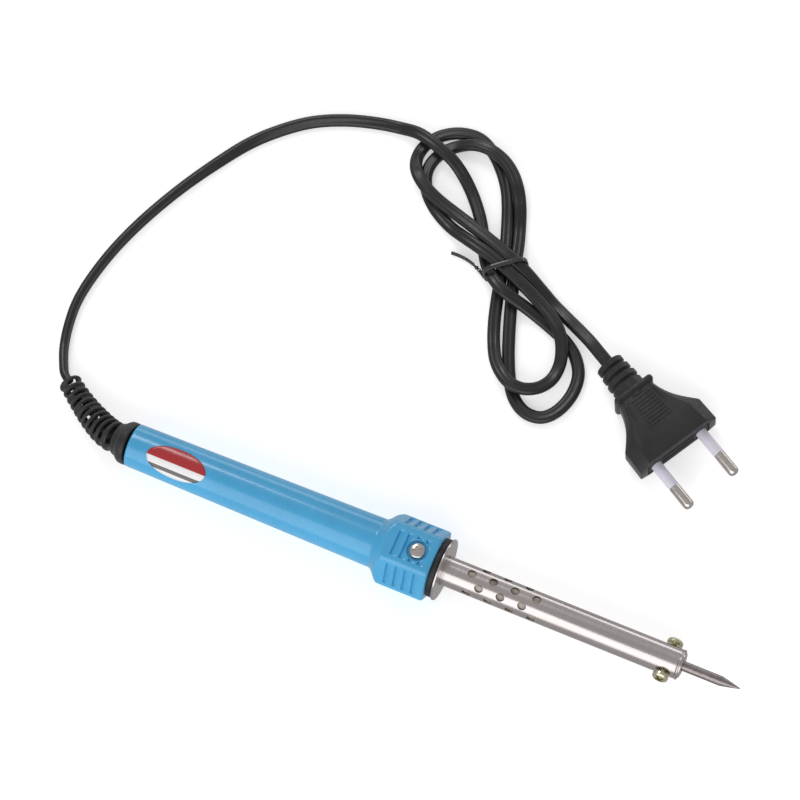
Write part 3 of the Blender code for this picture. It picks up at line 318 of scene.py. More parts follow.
def smooth_route(route_mm, count):
    """Evenly spaced points in metres on a smooth curve through the route."""
    route = [Vector(point) * MM for point in route_mm]
    fine = []
    for i in range(len(route) - 1):
        before, start = route[max(i - 1, 0)], route[i]
        end, after = route[i + 1], route[min(i + 2, len(route) - 1)]
        for step in range(24):
            t = step / 24
            slope = (end - before) * t
            bend = (2 * before - 5 * start + 4 * end - after) * t**2
            turn = (3 * start - before - 3 * end + after) * t**3
            fine.append((2 * start + slope + bend + turn) / 2)
    fine.append(route[-1])
    reach = [0.0]
    for start, end in zip(fine, fine[1:]):
        reach.append(reach[-1] + (end - start).length)
    points = []
    place = 0
    for i in range(count):
        target = reach[-1] * i / (count - 1)
        while place < len(reach) - 2 and reach[place + 1] < target:
            place += 1
        share = (target - reach[place]) / (reach[place + 1] - reach[place])
        points.append(fine[place].lerp(fine[place + 1], share))
    return points, reach[-1]


def upright_frames(points):
    """A frame at each point: Z along the path, X level with the table, Y up from it."""
    frames = []
    for i, point in enumerate(points):
        ahead = (points[min(i + 1, len(points) - 1)] - points[max(i - 1, 0)]).normalized()
        side = ahead.cross(Vector((0.0, 0.0, 1.0))).normalized()
        rise = side.cross(ahead)
        frames.append(Matrix.Translation(point) @ Matrix((side, rise, ahead)).transposed().to_4x4())
    return frames


def smooth_step(value):
    value = min(max(value, 0.0), 1.0)
    return value * value * (3 - 2 * value)


def soft_minimum(a, b, softness):
    blend = min(max(0.5 + 0.5 * (b - a) / softness, 0.0), 1.0)
    return b + (a - b) * blend - softness * blend * (1 - blend)


def between(stations, share):
    """The value at a share of the way, from (share, value) stations."""
    for (start, low), (end, high) in zip(stations, stations[1:]):
        if share <= end:
            return low + (high - low) * smooth_step((share - start) / (end - start))
    return stations[-1][1]


# ---------------------------------------------------------------- pieces


def piece(name, bm, slot, look=None, replaces=True, body="iron", sharp=35.0):
    """A finished piece from the bmesh, riding on its body, in place of the CAD node of its name."""
    mesh = mesh_from(name, bm)
    mesh.materials.append(FINISHES[look or slot])
    mesh.shade_smooth()
    mesh.set_sharp_from_angle(angle=math.radians(sharp))
    obj = add_object(f"{name}_look", mesh)
    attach(obj, body)
    if replaces:
        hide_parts(name)
    return obj


def carve(bm, cutters):
    """The bmesh cut by each cutter in turn, as a new bmesh."""
    obj = add_object("carved", mesh_from("carved", bm))
    tools = []
    for cutter in cutters:
        bmesh.ops.recalc_face_normals(cutter, faces=cutter.faces)
        tool = add_object("cutter", mesh_from("cutter", cutter))
        tools.append(tool)
        modifier = obj.modifiers.new("carve", "BOOLEAN")
        modifier.operation = "DIFFERENCE"
        modifier.solver = "EXACT"
        modifier.object = tool
    graph = bpy.context.evaluated_depsgraph_get()
    result = bmesh.new()
    result.from_object(obj, graph)
    for item in [obj, *tools]:
        bpy.data.objects.remove(item, do_unlink=True)
    return result


# ---------------------------------------------------------------- finishes


def feed(look, output, socket):
    """Links the output to a socket of the finish's shader."""
    tree = look.node_tree
    tree.links.new(output, tree.nodes["Principled BSDF"].inputs[socket])


def new_finish(name, colour, roughness, **sockets):
    """A Principled finish, kept under its name. The sockets are named with underscores for spaces."""
    look = FINISHES[name] = bpy.data.materials.new(name)
    look.use_nodes = True
    shader = look.node_tree.nodes["Principled BSDF"]
    shader.inputs["Base Color"].default_value = (*colour, 1.0)
    shader.inputs["Roughness"].default_value = roughness
    for socket, value in sockets.items():
        shader.inputs[socket.replace("_", " ")].default_value = value
    return look


def add_noise(look, scale, detail=3.0, stretch=(1.0, 1.0, 1.0)):
    """A noise pattern on Object coordinates. The scale is in patches to the metre."""
    nodes, links = look.node_tree.nodes, look.node_tree.links
    coordinates = nodes.new("ShaderNodeTexCoord")
    mapping = nodes.new("ShaderNodeMapping")
    mapping.inputs["Scale"].default_value = stretch
    pattern = nodes.new("ShaderNodeTexNoise")
    pattern.inputs["Scale"].default_value = scale
    pattern.inputs["Detail"].default_value = detail
    links.new(coordinates.outputs["Object"], mapping.inputs["Vector"])
    links.new(mapping.outputs["Vector"], pattern.inputs["Vector"])
    return pattern.outputs["Fac"]


def vary_colour(look, pattern, stops):
    """Colours the finish from the pattern, through (place, colour) stops."""
    nodes, links = look.node_tree.nodes, look.node_tree.links
    ramp = nodes.new("ShaderNodeValToRGB")
    for number, (place, colour) in enumerate(stops):
        step = ramp.color_ramp.elements[number] if number < 2 else ramp.color_ramp.elements.new(place)
        step.position = place
        step.color = (*colour, 1.0)
    links.new(pattern, ramp.inputs["Fac"])
    feed(look, ramp.outputs["Color"], "Base Color")
    return ramp


def vary_roughness(look, pattern, low, high):
    nodes, links = look.node_tree.nodes, look.node_tree.links
    spread = nodes.new("ShaderNodeMapRange")
    spread.inputs["From Min"].default_value = 0.3
    spread.inputs["From Max"].default_value = 0.7
    spread.inputs["To Min"].default_value = low
    spread.inputs["To Max"].default_value = high
    links.new(pattern, spread.inputs["Value"])
    feed(look, spread.outputs["Result"], "Roughness")


def add_relief(look, pattern, height, strength):
    """Raises the pattern in the surface by a height in metres."""
    nodes, links = look.node_tree.nodes, look.node_tree.links
    bump = nodes.new("ShaderNodeBump")
    bump.inputs["Distance"].default_value = height
    bump.inputs["Strength"].default_value = strength
    links.new(pattern, bump.inputs["Height"])
    feed(look, bump.outputs["Normal"], "Normal")


def shade(colour, factor):
    return tuple(min(part * factor, 1.0) for part in colour)


def varied_finish(name, colour, roughness, tones, wear, grain, stops=(0.3, 0.7), **sockets):
    """A finish whose colour, roughness and surface each follow a noise of their own.

    The tones are (scale, detail, darkest share of the colour, lightest), the wear is (scale, detail,
    lowest roughness, highest), and the grain is (scale, detail, height in metres, strength).
    """
    look = new_finish(name, colour, roughness, **sockets)
    pattern = add_noise(look, *tones[:2])
    vary_colour(look, pattern, [(stop, shade(colour, tone)) for stop, tone in zip(stops, tones[2:])])
    vary_roughness(look, add_noise(look, *wear[:2]), *wear[2:])
    add_relief(look, add_noise(look, *grain[:2]), *grain[2:])
    return look


def steel_finish(colour):
    """Drawn tube: faint rings round the barrel and long streaks along it."""
    look = new_finish("brushed_steel", colour, 0.28, Metallic=1.0)
    streaks = add_noise(look, 900.0, 3.0, stretch=(0.03, 1.0, 1.0))
    rings = add_noise(look, 5200.0, 2.0, stretch=(1.0, 0.03, 0.03))
    vary_colour(look, streaks, [(0.3, shade(colour, 0.93)), (0.7, shade(colour, 1.06))])
    vary_roughness(look, rings, 0.20, 0.28)
    add_relief(look, rings, 0.000002, 0.2)
    return look


def plate_finish(name, colour, tint):
    """Bright plating, whose colour drifts as a passivated film does."""
    look = new_finish(name, colour, 0.18, Metallic=1.0)
    vary_colour(look, add_noise(look, 900.0, 2.0), [(0.35, colour), (0.62, tint)])
    vary_roughness(look, add_noise(look, 1800.0), 0.12, 0.26)
    return look


def label_finish(red):
    """A red field over a white one, with a dark strip across the white."""
    look = new_finish("label_film", red, 0.2, Coat_Weight=0.5, Coat_Roughness=0.1)
    nodes, links = look.node_tree.nodes, look.node_tree.links
    across = nodes.new("ShaderNodeUVMap")
    across.uv_map = "label"
    parts = nodes.new("ShaderNodeSeparateXYZ")
    links.new(across.outputs["UV"], parts.inputs["Vector"])
    white, dark = (0.86, 0.85, 0.85), (0.10, 0.085, 0.09)
    fields = [(0.0, white), (0.14, dark), (0.27, white), (0.49, red), (1.0, shade(red, 0.85))]
    ramp = vary_colour(look, parts.outputs["Y"], fields)
    ramp.color_ramp.interpolation = "CONSTANT"
    add_relief(look, add_noise(look, 1200.0), 0.00001, 0.3)
    return look


def mica_finish():
    look = new_finish("mica", (0.30, 0.25, 0.20), 0.35)
    bands = add_noise(look, 500.0, 4.0, stretch=(0.3, 1.0, 1.0))
    dark, mid, pale = (0.17, 0.13, 0.10), (0.36, 0.31, 0.26), (0.60, 0.56, 0.50)
    vary_colour(look, bands, [(0.3, dark), (0.5, mid), (0.75, pale)])
    add_relief(look, bands, 0.00004, 0.6)
    return look


def grainy_finish(name, colour, roughness, scale, metallic=0.0):
    tones, grain = (scale, 3.0, 0.85, 1.1), (scale * 3, 3.0, 0.00002, 0.5)
    wear = (scale * 2, 3.0, roughness * 0.85, min(roughness * 1.2, 1.0))
    return varied_finish(name, colour, roughness, tones, wear, grain, Metallic=metallic)


# ---------------------------------------------------------------- settings


LENGTH = {"unit": "LENGTH", "precision": 5}
COLOUR = {"subtype": "COLOR", "min": 0, "max": 1}


class IronSizes(bpy.types.PropertyGroup):
    """Sizes of the details that the frame leaves open."""

    groove_count: IntProperty(name="Grooves", description="Grip grooves on each flat", default=4, min=1)
    groove_pitch: FloatProperty(
        name="Groove pitch", description="Distance between grooves", default=3.35 * MM, **LENGTH
    )
    groove_depth: FloatProperty(
        name="Groove depth", description="Depth of a grip groove", default=0.85 * MM, **LENGTH
    )
    recess_radius: FloatProperty(
        name="Screw recess", description="Radius of the collar's recess", default=3.65 * MM, **LENGTH
    )
    rib_count: IntProperty(name="Ribs", description="Ribs on the strain relief", default=11, min=2)
    cord_width: FloatProperty(
        name="Cord width", description="Width of the flat twin cord", default=4.6 * MM, **LENGTH
    )
    cord_thickness: FloatProperty(
        name="Cord thickness", description="Thickness of the flat cord", default=3.1 * MM, **LENGTH
    )
    vent_radius: FloatProperty(
        name="Vent radius", description="Radius of a vent in the barrel", default=1.5 * MM, **LENGTH
    )
    ridge_count: IntProperty(name="Plug ridges", description="Ridges on the plug's back", default=9, min=1)


class IronColours(bpy.types.PropertyGroup):
    """Base colours of the finishes."""

    moulding: FloatVectorProperty(
        name="Handle", description="Blue handle moulding", default=(0.058, 0.39, 0.70), **COLOUR
    )
    black: FloatVectorProperty(
        name="Black", description="Black mouldings", default=(0.011, 0.011, 0.013), **COLOUR
    )
    jacket: FloatVectorProperty(
        name="Cord", description="Cord jacket", default=(0.010, 0.010, 0.012), **COLOUR
    )
    steel: FloatVectorProperty(
        name="Steel", description="Barrel and flange", default=(0.60, 0.565, 0.555), **COLOUR
    )
    bit: FloatVectorProperty(
        name="Bit", description="Plated bit", default=(0.33, 0.295, 0.29), **COLOUR
    )
    label: FloatVectorProperty(
        name="Label", description="Red field of the label", default=(0.43, 0.022, 0.028), **COLOUR
    )


# ---------------------------------------------------------------- stage and cord


class IRON_OT_stage(bpy.types.Operator):
    """Camera, pale table and soft studio lights"""

    bl_idname = "soldering_iron.stage"
    bl_label = "Stage"

    def execute(self, context):
        scene = context.scene
        toward = Vector((math.tan(TILT_SIDE), -math.tan(TILT_BACK), 1.0)).normalized()
        level = Vector((math.cos(CAMERA_ROLL), math.sin(CAMERA_ROLL), 0.0))
        right = (level - toward * level.dot(toward)).normalized()
        lens = bpy.data.cameras.new("camera")
        lens.lens = LENS_MM
        lens.sensor_width = 36.0
        lens.clip_start = 0.05
        camera = add_object("camera", lens)
        turn = Matrix((right, toward.cross(right), toward)).transposed().to_4x4()
        camera.matrix_world = Matrix.Translation(Vector(CAMERA_TARGET) + toward * CAMERA_DISTANCE) @ turn
        scene.camera = camera
        scene.view_settings.view_transform = "Standard"

        bm = bmesh.new()
        bmesh.ops.create_grid(bm, x_segments=1, y_segments=1, size=4.0)
        table = add_object("table", mesh_from("table", bm))
        glow = {"Emission_Color": (1.0, 1.0, 1.0, 1.0), "Emission_Strength": 0.45}
        table.data.materials.append(new_finish("table", TABLE_WHITE, 0.7, **glow))
        table.visible_glossy = False

        world = bpy.data.worlds.new("studio")
        world.use_nodes = True
        sky = world.node_tree.nodes["Background"]
        sky.inputs["Color"].default_value = (0.86, 0.84, 0.84, 1.0)
        sky.inputs["Strength"].default_value = 0.5
        scene.world = world
        centre = Vector((0.0, 0.05, 0.0))
        for name, place, size, power in LIGHTS:
            light = bpy.data.lights.new(name, "AREA")
            light.shape = "RECTANGLE"
            light.size, light.size_y = size
            light.energy = power
            lamp = add_object(name, light)
            lamp.location = place
            lamp.rotation_euler = (centre - Vector(place)).to_track_quat("-Z", "Y").to_euler()
        return {"FINISHED"}


class IRON_OT_cord(bpy.types.Operator):
    """Flat twin cord, from the strain relief through the tied figure-of-eight to the plug"""

    bl_idname = "soldering_iron.cord"
    bl_label = "Mains cord"

    def execute(self, context):
        sizes = context.scene.iron_sizes
        half_width, half_height = sizes.cord_width / 2, sizes.cord_thickness / 2
        relief, _ = smooth_route(RELIEF_ROUTE_MM, 60)
        out = (relief[-1] - relief[-2]).normalized()
        start = relief[-1] + out * 0.3 * MM
        plug_out = -Vector(PLUG_MOUNT["axis"])
        plug_end = Vector(PLUG_MOUNT["pos_m"]) + plug_out * (PLUG_BODY + PLUG_RELIEF)
        ends = [start / MM, (start + out * 3 * MM) / MM]
        finish = [(plug_end + plug_out * 3.3 * MM) / MM, (plug_end + plug_out * 0.3 * MM) / MM]
        points, _ = smooth_route([*ends, *CORD_ROUTE_MM, *finish], 620)

        outline = bpy.data.curves.new("cord_section", "CURVE")
        outline.dimensions = "2D"
        outline.fill_mode = "NONE"
        spline = outline.splines.new("POLY")
        steps = 36
        spline.points.add(steps - 1)
        for i in range(steps):
            angle = -math.tau * i / steps
            x = half_width * math.copysign(abs(math.cos(angle)) ** 0.8, math.cos(angle))
            groove = 1 - 0.17 * math.exp(-((x / (0.28 * half_width)) ** 2))
            y = half_height * math.copysign(abs(math.sin(angle)) ** 0.75, math.sin(angle)) * groove
            spline.points[i].co = (x, y, 0.0, 1.0)
        spline.use_cyclic_u = True
        section = add_object("cord_section", outline)
        section.hide_render = True
        section.hide_viewport = True

        curve = bpy.data.curves.new("mains_cord", "CURVE")
        curve.dimensions = "3D"
        curve.twist_mode = "Z_UP"
        curve.bevel_mode = "OBJECT"
        curve.bevel_object = section
        curve.use_fill_caps = True
        line = curve.splines.new("POLY")
        line.points.add(len(points) - 1)
        for i, point in enumerate(points):
            twist = math.radians(between(CORD_TWIST, i / (len(points) - 1)))
            reach = math.hypot(half_width * math.sin(twist), half_height * math.cos(twist))
            line.points[i].co = (point.x, point.y, max(point.z, reach + 0.25 * MM), 1.0)
            line.points[i].tilt = twist
        line.use_smooth = True
        curve.materials.append(FINISHES["cord_jacket"])
        cord = add_object("mains_cord_look", curve)
        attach(cord, "iron")
        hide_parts("mains_cord")
        CORD["object"], CORD["exit"] = cord, start
        return {"FINISHED"}


# ---------------------------------------------------------------- handle


def handle_taper(x):
    """The handle's radius behind its flare."""
    share = min(max((x - REAR_X) / (FLARE_START_X - REAR_X), 0.0), 1.0)
    return HANDLE_REAR_RADIUS + share * (HANDLE_FRONT_RADIUS - HANDLE_REAR_RADIUS)


def collar_surface(x, angle, sizes):
    """The collar's outer radius at an angle from the top, with its flats, soft corners and grooves."""
    sector = math.tau / 6
    off_flat = (angle + sector / 2) % sector - sector / 2
    flat = COLLAR_APOTHEM / math.cos(off_flat)
    rise = smooth_step((x - FLARE_START_X) / (COLLAR_REAR_X - FLARE_START_X))
    cone = HANDLE_FRONT_RADIUS + (COLLAR_CORNER - HANDLE_FRONT_RADIUS) * rise
    radius = soft_minimum(cone, flat, 0.5 * MM)
    lateral = abs(COLLAR_APOTHEM * math.tan(off_flat))
    window = smooth_step((GROOVE_HALF_SPAN - lateral) / (0.35 * MM))
    if abs(angle) < sector / 2:
        off_screw = math.hypot(x - SCREW_X, lateral)
        window *= smooth_step((off_screw - sizes.recess_radius - 0.35 * MM) / (0.3 * MM))
    first = COLLAR_FRONT_X - GROOVE_SETBACK
    for groove in range(sizes.groove_count):
        ahead = x - (first - groove * sizes.groove_pitch)
        if -GROOVE_LIP < ahead < GROOVE_SLOPE:
            depth = smooth_step(1 + ahead / GROOVE_LIP) if ahead < 0 else 1 - ahead / GROOVE_SLOPE
            radius -= sizes.groove_depth * window * depth
    edge = max(x - (COLLAR_FRONT_X - FRONT_ROUND), 0.0)
    return radius - (FRONT_ROUND - math.sqrt(max(FRONT_ROUND**2 - edge**2, 0.0)))


class IRON_OT_handle(bpy.types.Operator):
    """Blue handle: a tapered tube that flares into the grooved hexagonal collar"""

    bl_idname = "soldering_iron.handle"
    bl_label = "Handle"

    def execute(self, context):
        sizes = context.scene.iron_sizes
        rim = handle_taper(REAR_X)
        profile = [(REAR_X + 0.12 * MM * i, rim - 0.4 * MM * (1 - i / 4) ** 2) for i in range(5)]
        taper_run = FLARE_START_X - REAR_X - 2.0 * MM
        profile += [(REAR_X + 1.5 * MM + i * taper_run / 24, None) for i in range(25)]
        rows = 72
        collar_run = COLLAR_FRONT_X - FLARE_START_X
        profile += [(FLARE_START_X + collar_run * i / rows, None) for i in range(rows)]
        for groove in range(sizes.groove_count):
            wall = COLLAR_FRONT_X - GROOVE_SETBACK - groove * sizes.groove_pitch
            profile += [(wall + step * MM, None) for step in (-0.13, -0.08, -0.04, 0.01, 0.1)]
        for share in (0.3, 0.55, 0.75, 0.9, 1.0):
            profile.append((COLLAR_FRONT_X - FRONT_ROUND * (1 - share), None))
        profile = sorted(set(profile), key=lambda station: station[0])
        outline = [(x, handle_taper(x) if radius is None else radius) for x, radius in profile]
        front = outline[-1][0]
        outline += [(front, FRONT_BORE), (FLARE_START_X, FRONT_BORE), (REAR_X, REAR_BORE)]
        bm = bmesh.new()
        turn_profile(bm, outline, steps=240, closed=True, place=along_iron())
        for vert in bm.verts:
            across, up = vert.co.y, vert.co.z - AXIS_Z
            radius = math.hypot(across, up)
            if vert.co.x > FLARE_START_X - 1.0 * MM and radius > FRONT_BORE + 0.5 * MM:
                angle = math.atan2(-across, up)
                scale = collar_surface(vert.co.x, angle, sizes) / radius
                vert.co.y = across * scale
                vert.co.z = AXIS_Z + up * scale
        clean(bm)
        seat = Matrix.Translation((SCREW_X, 0.0, AXIS_Z + COLLAR_APOTHEM - RECESS_DEPTH))
        recess = bmesh.new()
        wide = sizes.recess_radius
        turn_profile(
            recess,
            [(4 * MM, 0.0), (4 * MM, wide + 0.2 * MM), (RECESS_DEPTH - 0.1 * MM, wide + 0.2 * MM)]
            + [(RECESS_DEPTH - 0.35 * MM, wide), (0.2 * MM, wide), (0.0, wide - 0.2 * MM)]
            + [(0.0, SCREW_HOLE_RADIUS), (-6 * MM, SCREW_HOLE_RADIUS), (-6 * MM, 0.0)],
            steps=64,
            place=seat,
        )
        bm = carve(bm, [recess])
        clean(bm)
        piece("handle_shell", bm, "blue_moulding", sharp=28.0)
        return {"FINISHED"}


class IRON_OT_label(bpy.types.Operator):
    """Oval label on the handle, a field of red over white with a dark strip"""

    bl_idname = "soldering_iron.label"
    bl_label = "Label"

    def execute(self, context):
        middle = (LABEL_LOW.x + LABEL_HIGH.x) / 2
        half_length = (LABEL_HIGH.x - LABEL_LOW.x) / 2
        bm = bmesh.new()
        verts = [bm.verts.new((i / 12, 0.0, 0.0)) for i in range(13)]
        edges = [bm.edges.new(pair) for pair in zip(verts, verts[1:])]
        bmesh.ops.spin(bm, geom=verts + edges, axis=(0, 0, 1), angle=math.tau, steps=96, use_merge=True)
        clean(bm)
        across = bm.loops.layers.uv.new("label")
        for face in bm.faces:
            for loop in face.loops:
                loop[across].uv = (loop.vert.co.x / 2 + 0.5, loop.vert.co.y / 2 + 0.5)
        for vert in bm.verts:
            x = middle + vert.co.x * half_length
            radius = handle_taper(x) + 0.10 * MM
            angle = LABEL_ROLL - vert.co.y * LABEL_HALF_WIDTH / radius
            vert.co = (x, -math.sin(angle) * radius, AXIS_Z + math.cos(angle) * radius)
        bmesh.ops.recalc_face_normals(bm, faces=bm.faces)
        if sum(face.normal.z for face in bm.faces) < 0:
            bmesh.ops.reverse_faces(bm, faces=bm.faces)
        made = piece("rating_label", bm, "label_film")
        wall = made.modifiers.new("film", "SOLIDIFY")
        wall.thickness = FILM_THICKNESS
        wall.offset = 0.0
        return {"FINISHED"}


# ---------------------------------------------------------------- metal and screws


def add_clamp_holes(bm, surface, hole):
    """Adds a cutter for each clamp screw's hole, measured outwards from a surface at this radius."""
    for side in ("lower", "upper"):
        joint = JOINTS[f"{side}_clamp_screw_turn"]
        axis = Vector(joint["axis"])
        middle = Vector((joint["pos_m"][0], 0.0, AXIS_Z)) + axis * surface
        turn_profile(bm, hole, 32, False, pointing(middle, axis))


def rounded_ring(rear, front, outer, inner, corner):
    """The closed profile of a ring whose outer edges are round."""
    points = [(rear, inner)]
    for start, place in ((180, rear + corner), (90, front - corner)):
        for step in range(5):
            angle = math.radians(start - 90 * step / 4)
            points.append((place + corner * math.cos(angle), outer - corner + corner * math.sin(angle)))
    points.append((front, inner))
    return points


class IRON_OT_front_stack(bpy.types.Operator):
    """Black insulator and steel flange in front of the collar"""

    bl_idname = "soldering_iron.front_stack"
    bl_label = "Insulator and flange"

    def execute(self, context):
        bore = BARREL_RADIUS + 0.15 * MM
        bm = bmesh.new()
        rim = (DISC_HIGH.y - DISC_LOW.y) / 2
        disc = rounded_ring(COLLAR_FRONT_X + 0.05 * MM, DISC_HIGH.x, rim, bore, 0.4 * MM)
        turn_profile(bm, disc, 128, True, along_iron())
        spigot = rounded_ring(DISC_LOW.x, COLLAR_FRONT_X + 0.1 * MM, FRONT_BORE - 0.2 * MM, bore, 0.1 * MM)
        turn_profile(bm, spigot, 64, True, along_iron())
        clean(bm)
        piece("front_insulator", bm, "black_moulding")
        radius = (FLANGE_HIGH.y - FLANGE_LOW.y) / 2
        flange = rounded_ring(FLANGE_LOW.x, FLANGE_HIGH.x, radius, bore, 0.25 * MM)
        piece("barrel_flange", turned(flange, 160, True), "brushed_steel")
        return {"FINISHED"}


class IRON_OT_barrel(bpy.types.Operator):
    """Steel barrel with its staggered vents and its rolled front lip"""

    bl_idname = "soldering_iron.barrel"
    bl_label = "Barrel"

    def execute(self, context):
        front, rear = BARREL_HIGH.x, BARREL_LOW.x
        lip = (BARREL_HIGH.y - BARREL_LOW.y) / 2
        bore = BARREL_RADIUS - BARREL_WALL
        profile = [(rear, bore), (rear, BARREL_RADIUS)]
        profile += [(front - 1.15 * MM, BARREL_RADIUS), (front - 1.0 * MM, BARREL_RADIUS)]
        for step in range(7):
            angle = math.radians(180 - 180 * step / 6)
            radius = lip - LIP_RADIUS + LIP_RADIUS * math.sin(angle)
            profile.append((front - 0.38 * MM + 0.38 * MM * math.cos(angle), radius))
        profile.append((front - 0.1 * MM, bore))
        bm = turned(profile, 144, True)
        vents = bmesh.new()
        radius = context.scene.iron_sizes.vent_radius
        vent = [(0.3 * MM, 0.0), (0.3 * MM, radius + 0.35 * MM), (-0.12 * MM, radius)]
        vent += [(-2.2 * MM, radius), (-2.2 * MM, 0.0)]
        for row in range(VENT_ROWS):
            turn = Matrix.Rotation(VENT_ROLL + row * math.tau / VENT_ROWS, 4, "X")
            odd = row % 2
            for hole in range(VENTS_IN_ROW - odd):
                x = FLANGE_HIGH.x + VENT_FIRST + (hole + odd / 2) * VENT_PITCH
                out = turn @ Matrix.Translation((0.0, 0.0, BARREL_RADIUS))
                turn_profile(vents, vent, 32, False, Matrix.Translation((x, 0.0, AXIS_Z)) @ out)
        hole = [mm(0.3, 0.0), mm(0.3, 1.45), mm(-0.1, 1.3), mm(-1.5, 1.3), mm(-1.5, 0.0)]
        add_clamp_holes(vents, BARREL_RADIUS, hole)
        bm = carve(bm, [vents])
        clean(bm)
        piece("barrel_tube", bm, "brushed_steel", sharp=30.0)
        return {"FINISHED"}


class IRON_OT_bit(bpy.types.Operator):
    """Pointed bit, and the bush that centres it in the barrel"""

    bl_idname = "soldering_iron.bit"
    bl_label = "Bit and bush"

    def execute(self, context):
        point = BIT_HIGH.x
        profile = [(BIT_LOW.x, 0.0), (BIT_LOW.x, BIT_RADIUS - 0.3 * MM), (BIT_LOW.x + 0.3 * MM, BIT_RADIUS)]
        for step in range(9):
            share = step / 8
            sag = 0.05 * MM * math.sin(share * math.pi)
            radius = BIT_RADIUS + (0.22 * MM - BIT_RADIUS) * share + sag
            profile.append((point - BIT_CONE + (BIT_CONE - 0.25 * MM) * share, radius))
        profile += [(point - 0.08 * MM, 0.13 * MM), (point, 0.0)]
        bm = turned(profile, 64)
        punch = bmesh.new()
        bmesh.ops.create_uvsphere(punch, u_segments=24, v_segments=12, radius=0.5 * MM)
        spot = Vector((BARREL_HIGH.x + 4.9 * MM, 0.1 * MM, AXIS_Z + BIT_RADIUS + 0.18 * MM))
        bmesh.ops.transform(punch, matrix=Matrix.Translation(spot), verts=punch.verts)
        bm = carve(bm, [punch])
        clean(bm)
        piece("soldering_bit", bm, "plated_bit", body="bit", sharp=25.0)

        outer = (BUSH_HIGH.y - BUSH_LOW.y) / 2
        ring = rounded_ring(BUSH_LOW.x, BUSH_HIGH.x, outer, BIT_RADIUS + 0.25 * MM, 0.45 * MM)
        bm = turned(ring, 96, True)
        slot = bmesh.new()
        place = Matrix.Translation((BUSH_HIGH.x, 0.0, AXIS_Z)) @ Matrix.Rotation(math.radians(40.0), 4, "X")
        add_block(slot, mm(1.6, 3.6, 0.7), place @ Matrix.Translation((0.0, -3.4 * MM, 0.0)))
        holes = bmesh.new()
        add_clamp_holes(holes, outer, [mm(2, 0.0), mm(2, 1.25), mm(-4.2, 1.25), mm(-4.2, 0.0)])
        bm = carve(bm, [slot, holes])
        clean(bm)
        piece("bit_bush", bm, "brushed_steel", sharp=30.0)
        return {"FINISHED"}


def build_screw(name, body, joint, size, slot):
    """A pan head screw with a cross recess and a threaded shank, turning about its joint's axis."""
    radius, height, shank, length, seat = size
    profile = [(0.0, shank), (0.0, radius - 0.15 * MM), (0.12 * MM, radius)]
    wall = height * 0.45
    for step in range(9):
        angle = math.pi / 2 * step / 8
        profile.append((wall + (height - wall) * math.sin(angle), radius * math.cos(angle) ** 0.75))
    profile[-1] = (height, 0.0)
    thread = []
    turns = max(int(length / (0.5 * MM)), 1)
    for turn in range(turns):
        start = -length * turn / turns
        thread += [(start - 0.12 * MM, shank), (start - 0.25 * MM, shank - 0.16 * MM)]
    thread.reverse()
    outline = [(-length, 0.0), (-length, shank - 0.2 * MM), *thread, *profile]
    bm = turned(outline, 48, place=Matrix.Identity(4))
    cross = []
    for turn in (0.0, math.pi / 2):
        arm = bmesh.new()
        place = Matrix.Rotation(turn + 0.5, 4, "Z") @ Matrix.Translation((0.0, 0.0, height))
        add_block(arm, (radius * 1.25, radius * 0.34, height * 1.2), place)
        cross.append(arm)
    bm = carve(bm, cross)
    clean(bm)
    where = Vector(joint["pos_m"])
    axis = Vector(joint["axis"])
    bmesh.ops.transform(bm, matrix=pointing(where + axis * seat, axis), verts=bm.verts)
    piece(name, bm, slot, body=body, sharp=32.0)


class IRON_OT_screws(bpy.types.Operator):
    """Collar screw and the bit's two clamp screws"""

    bl_idname = "soldering_iron.screws"
    bl_label = "Screws"

    def execute(self, context):
        clamp = mm(2.8, 1.9, 1.0, 4.1, 0.0)
        for side in ("lower", "upper"):
            joint = JOINTS[f"{side}_clamp_screw_turn"]
            build_screw(f"clamp_screw_{side}", f"{side}_clamp_screw", joint, clamp, "yellow_zinc")
        collar = mm(2.7, 1.15, 1.35, 4.5, 0.3)
        build_screw("collar_screw", "collar_clamp_screw", JOINTS["collar_screw_turn"], collar, "nickel")
        return {"FINISHED"}


# ---------------------------------------------------------------- strain relief and tie


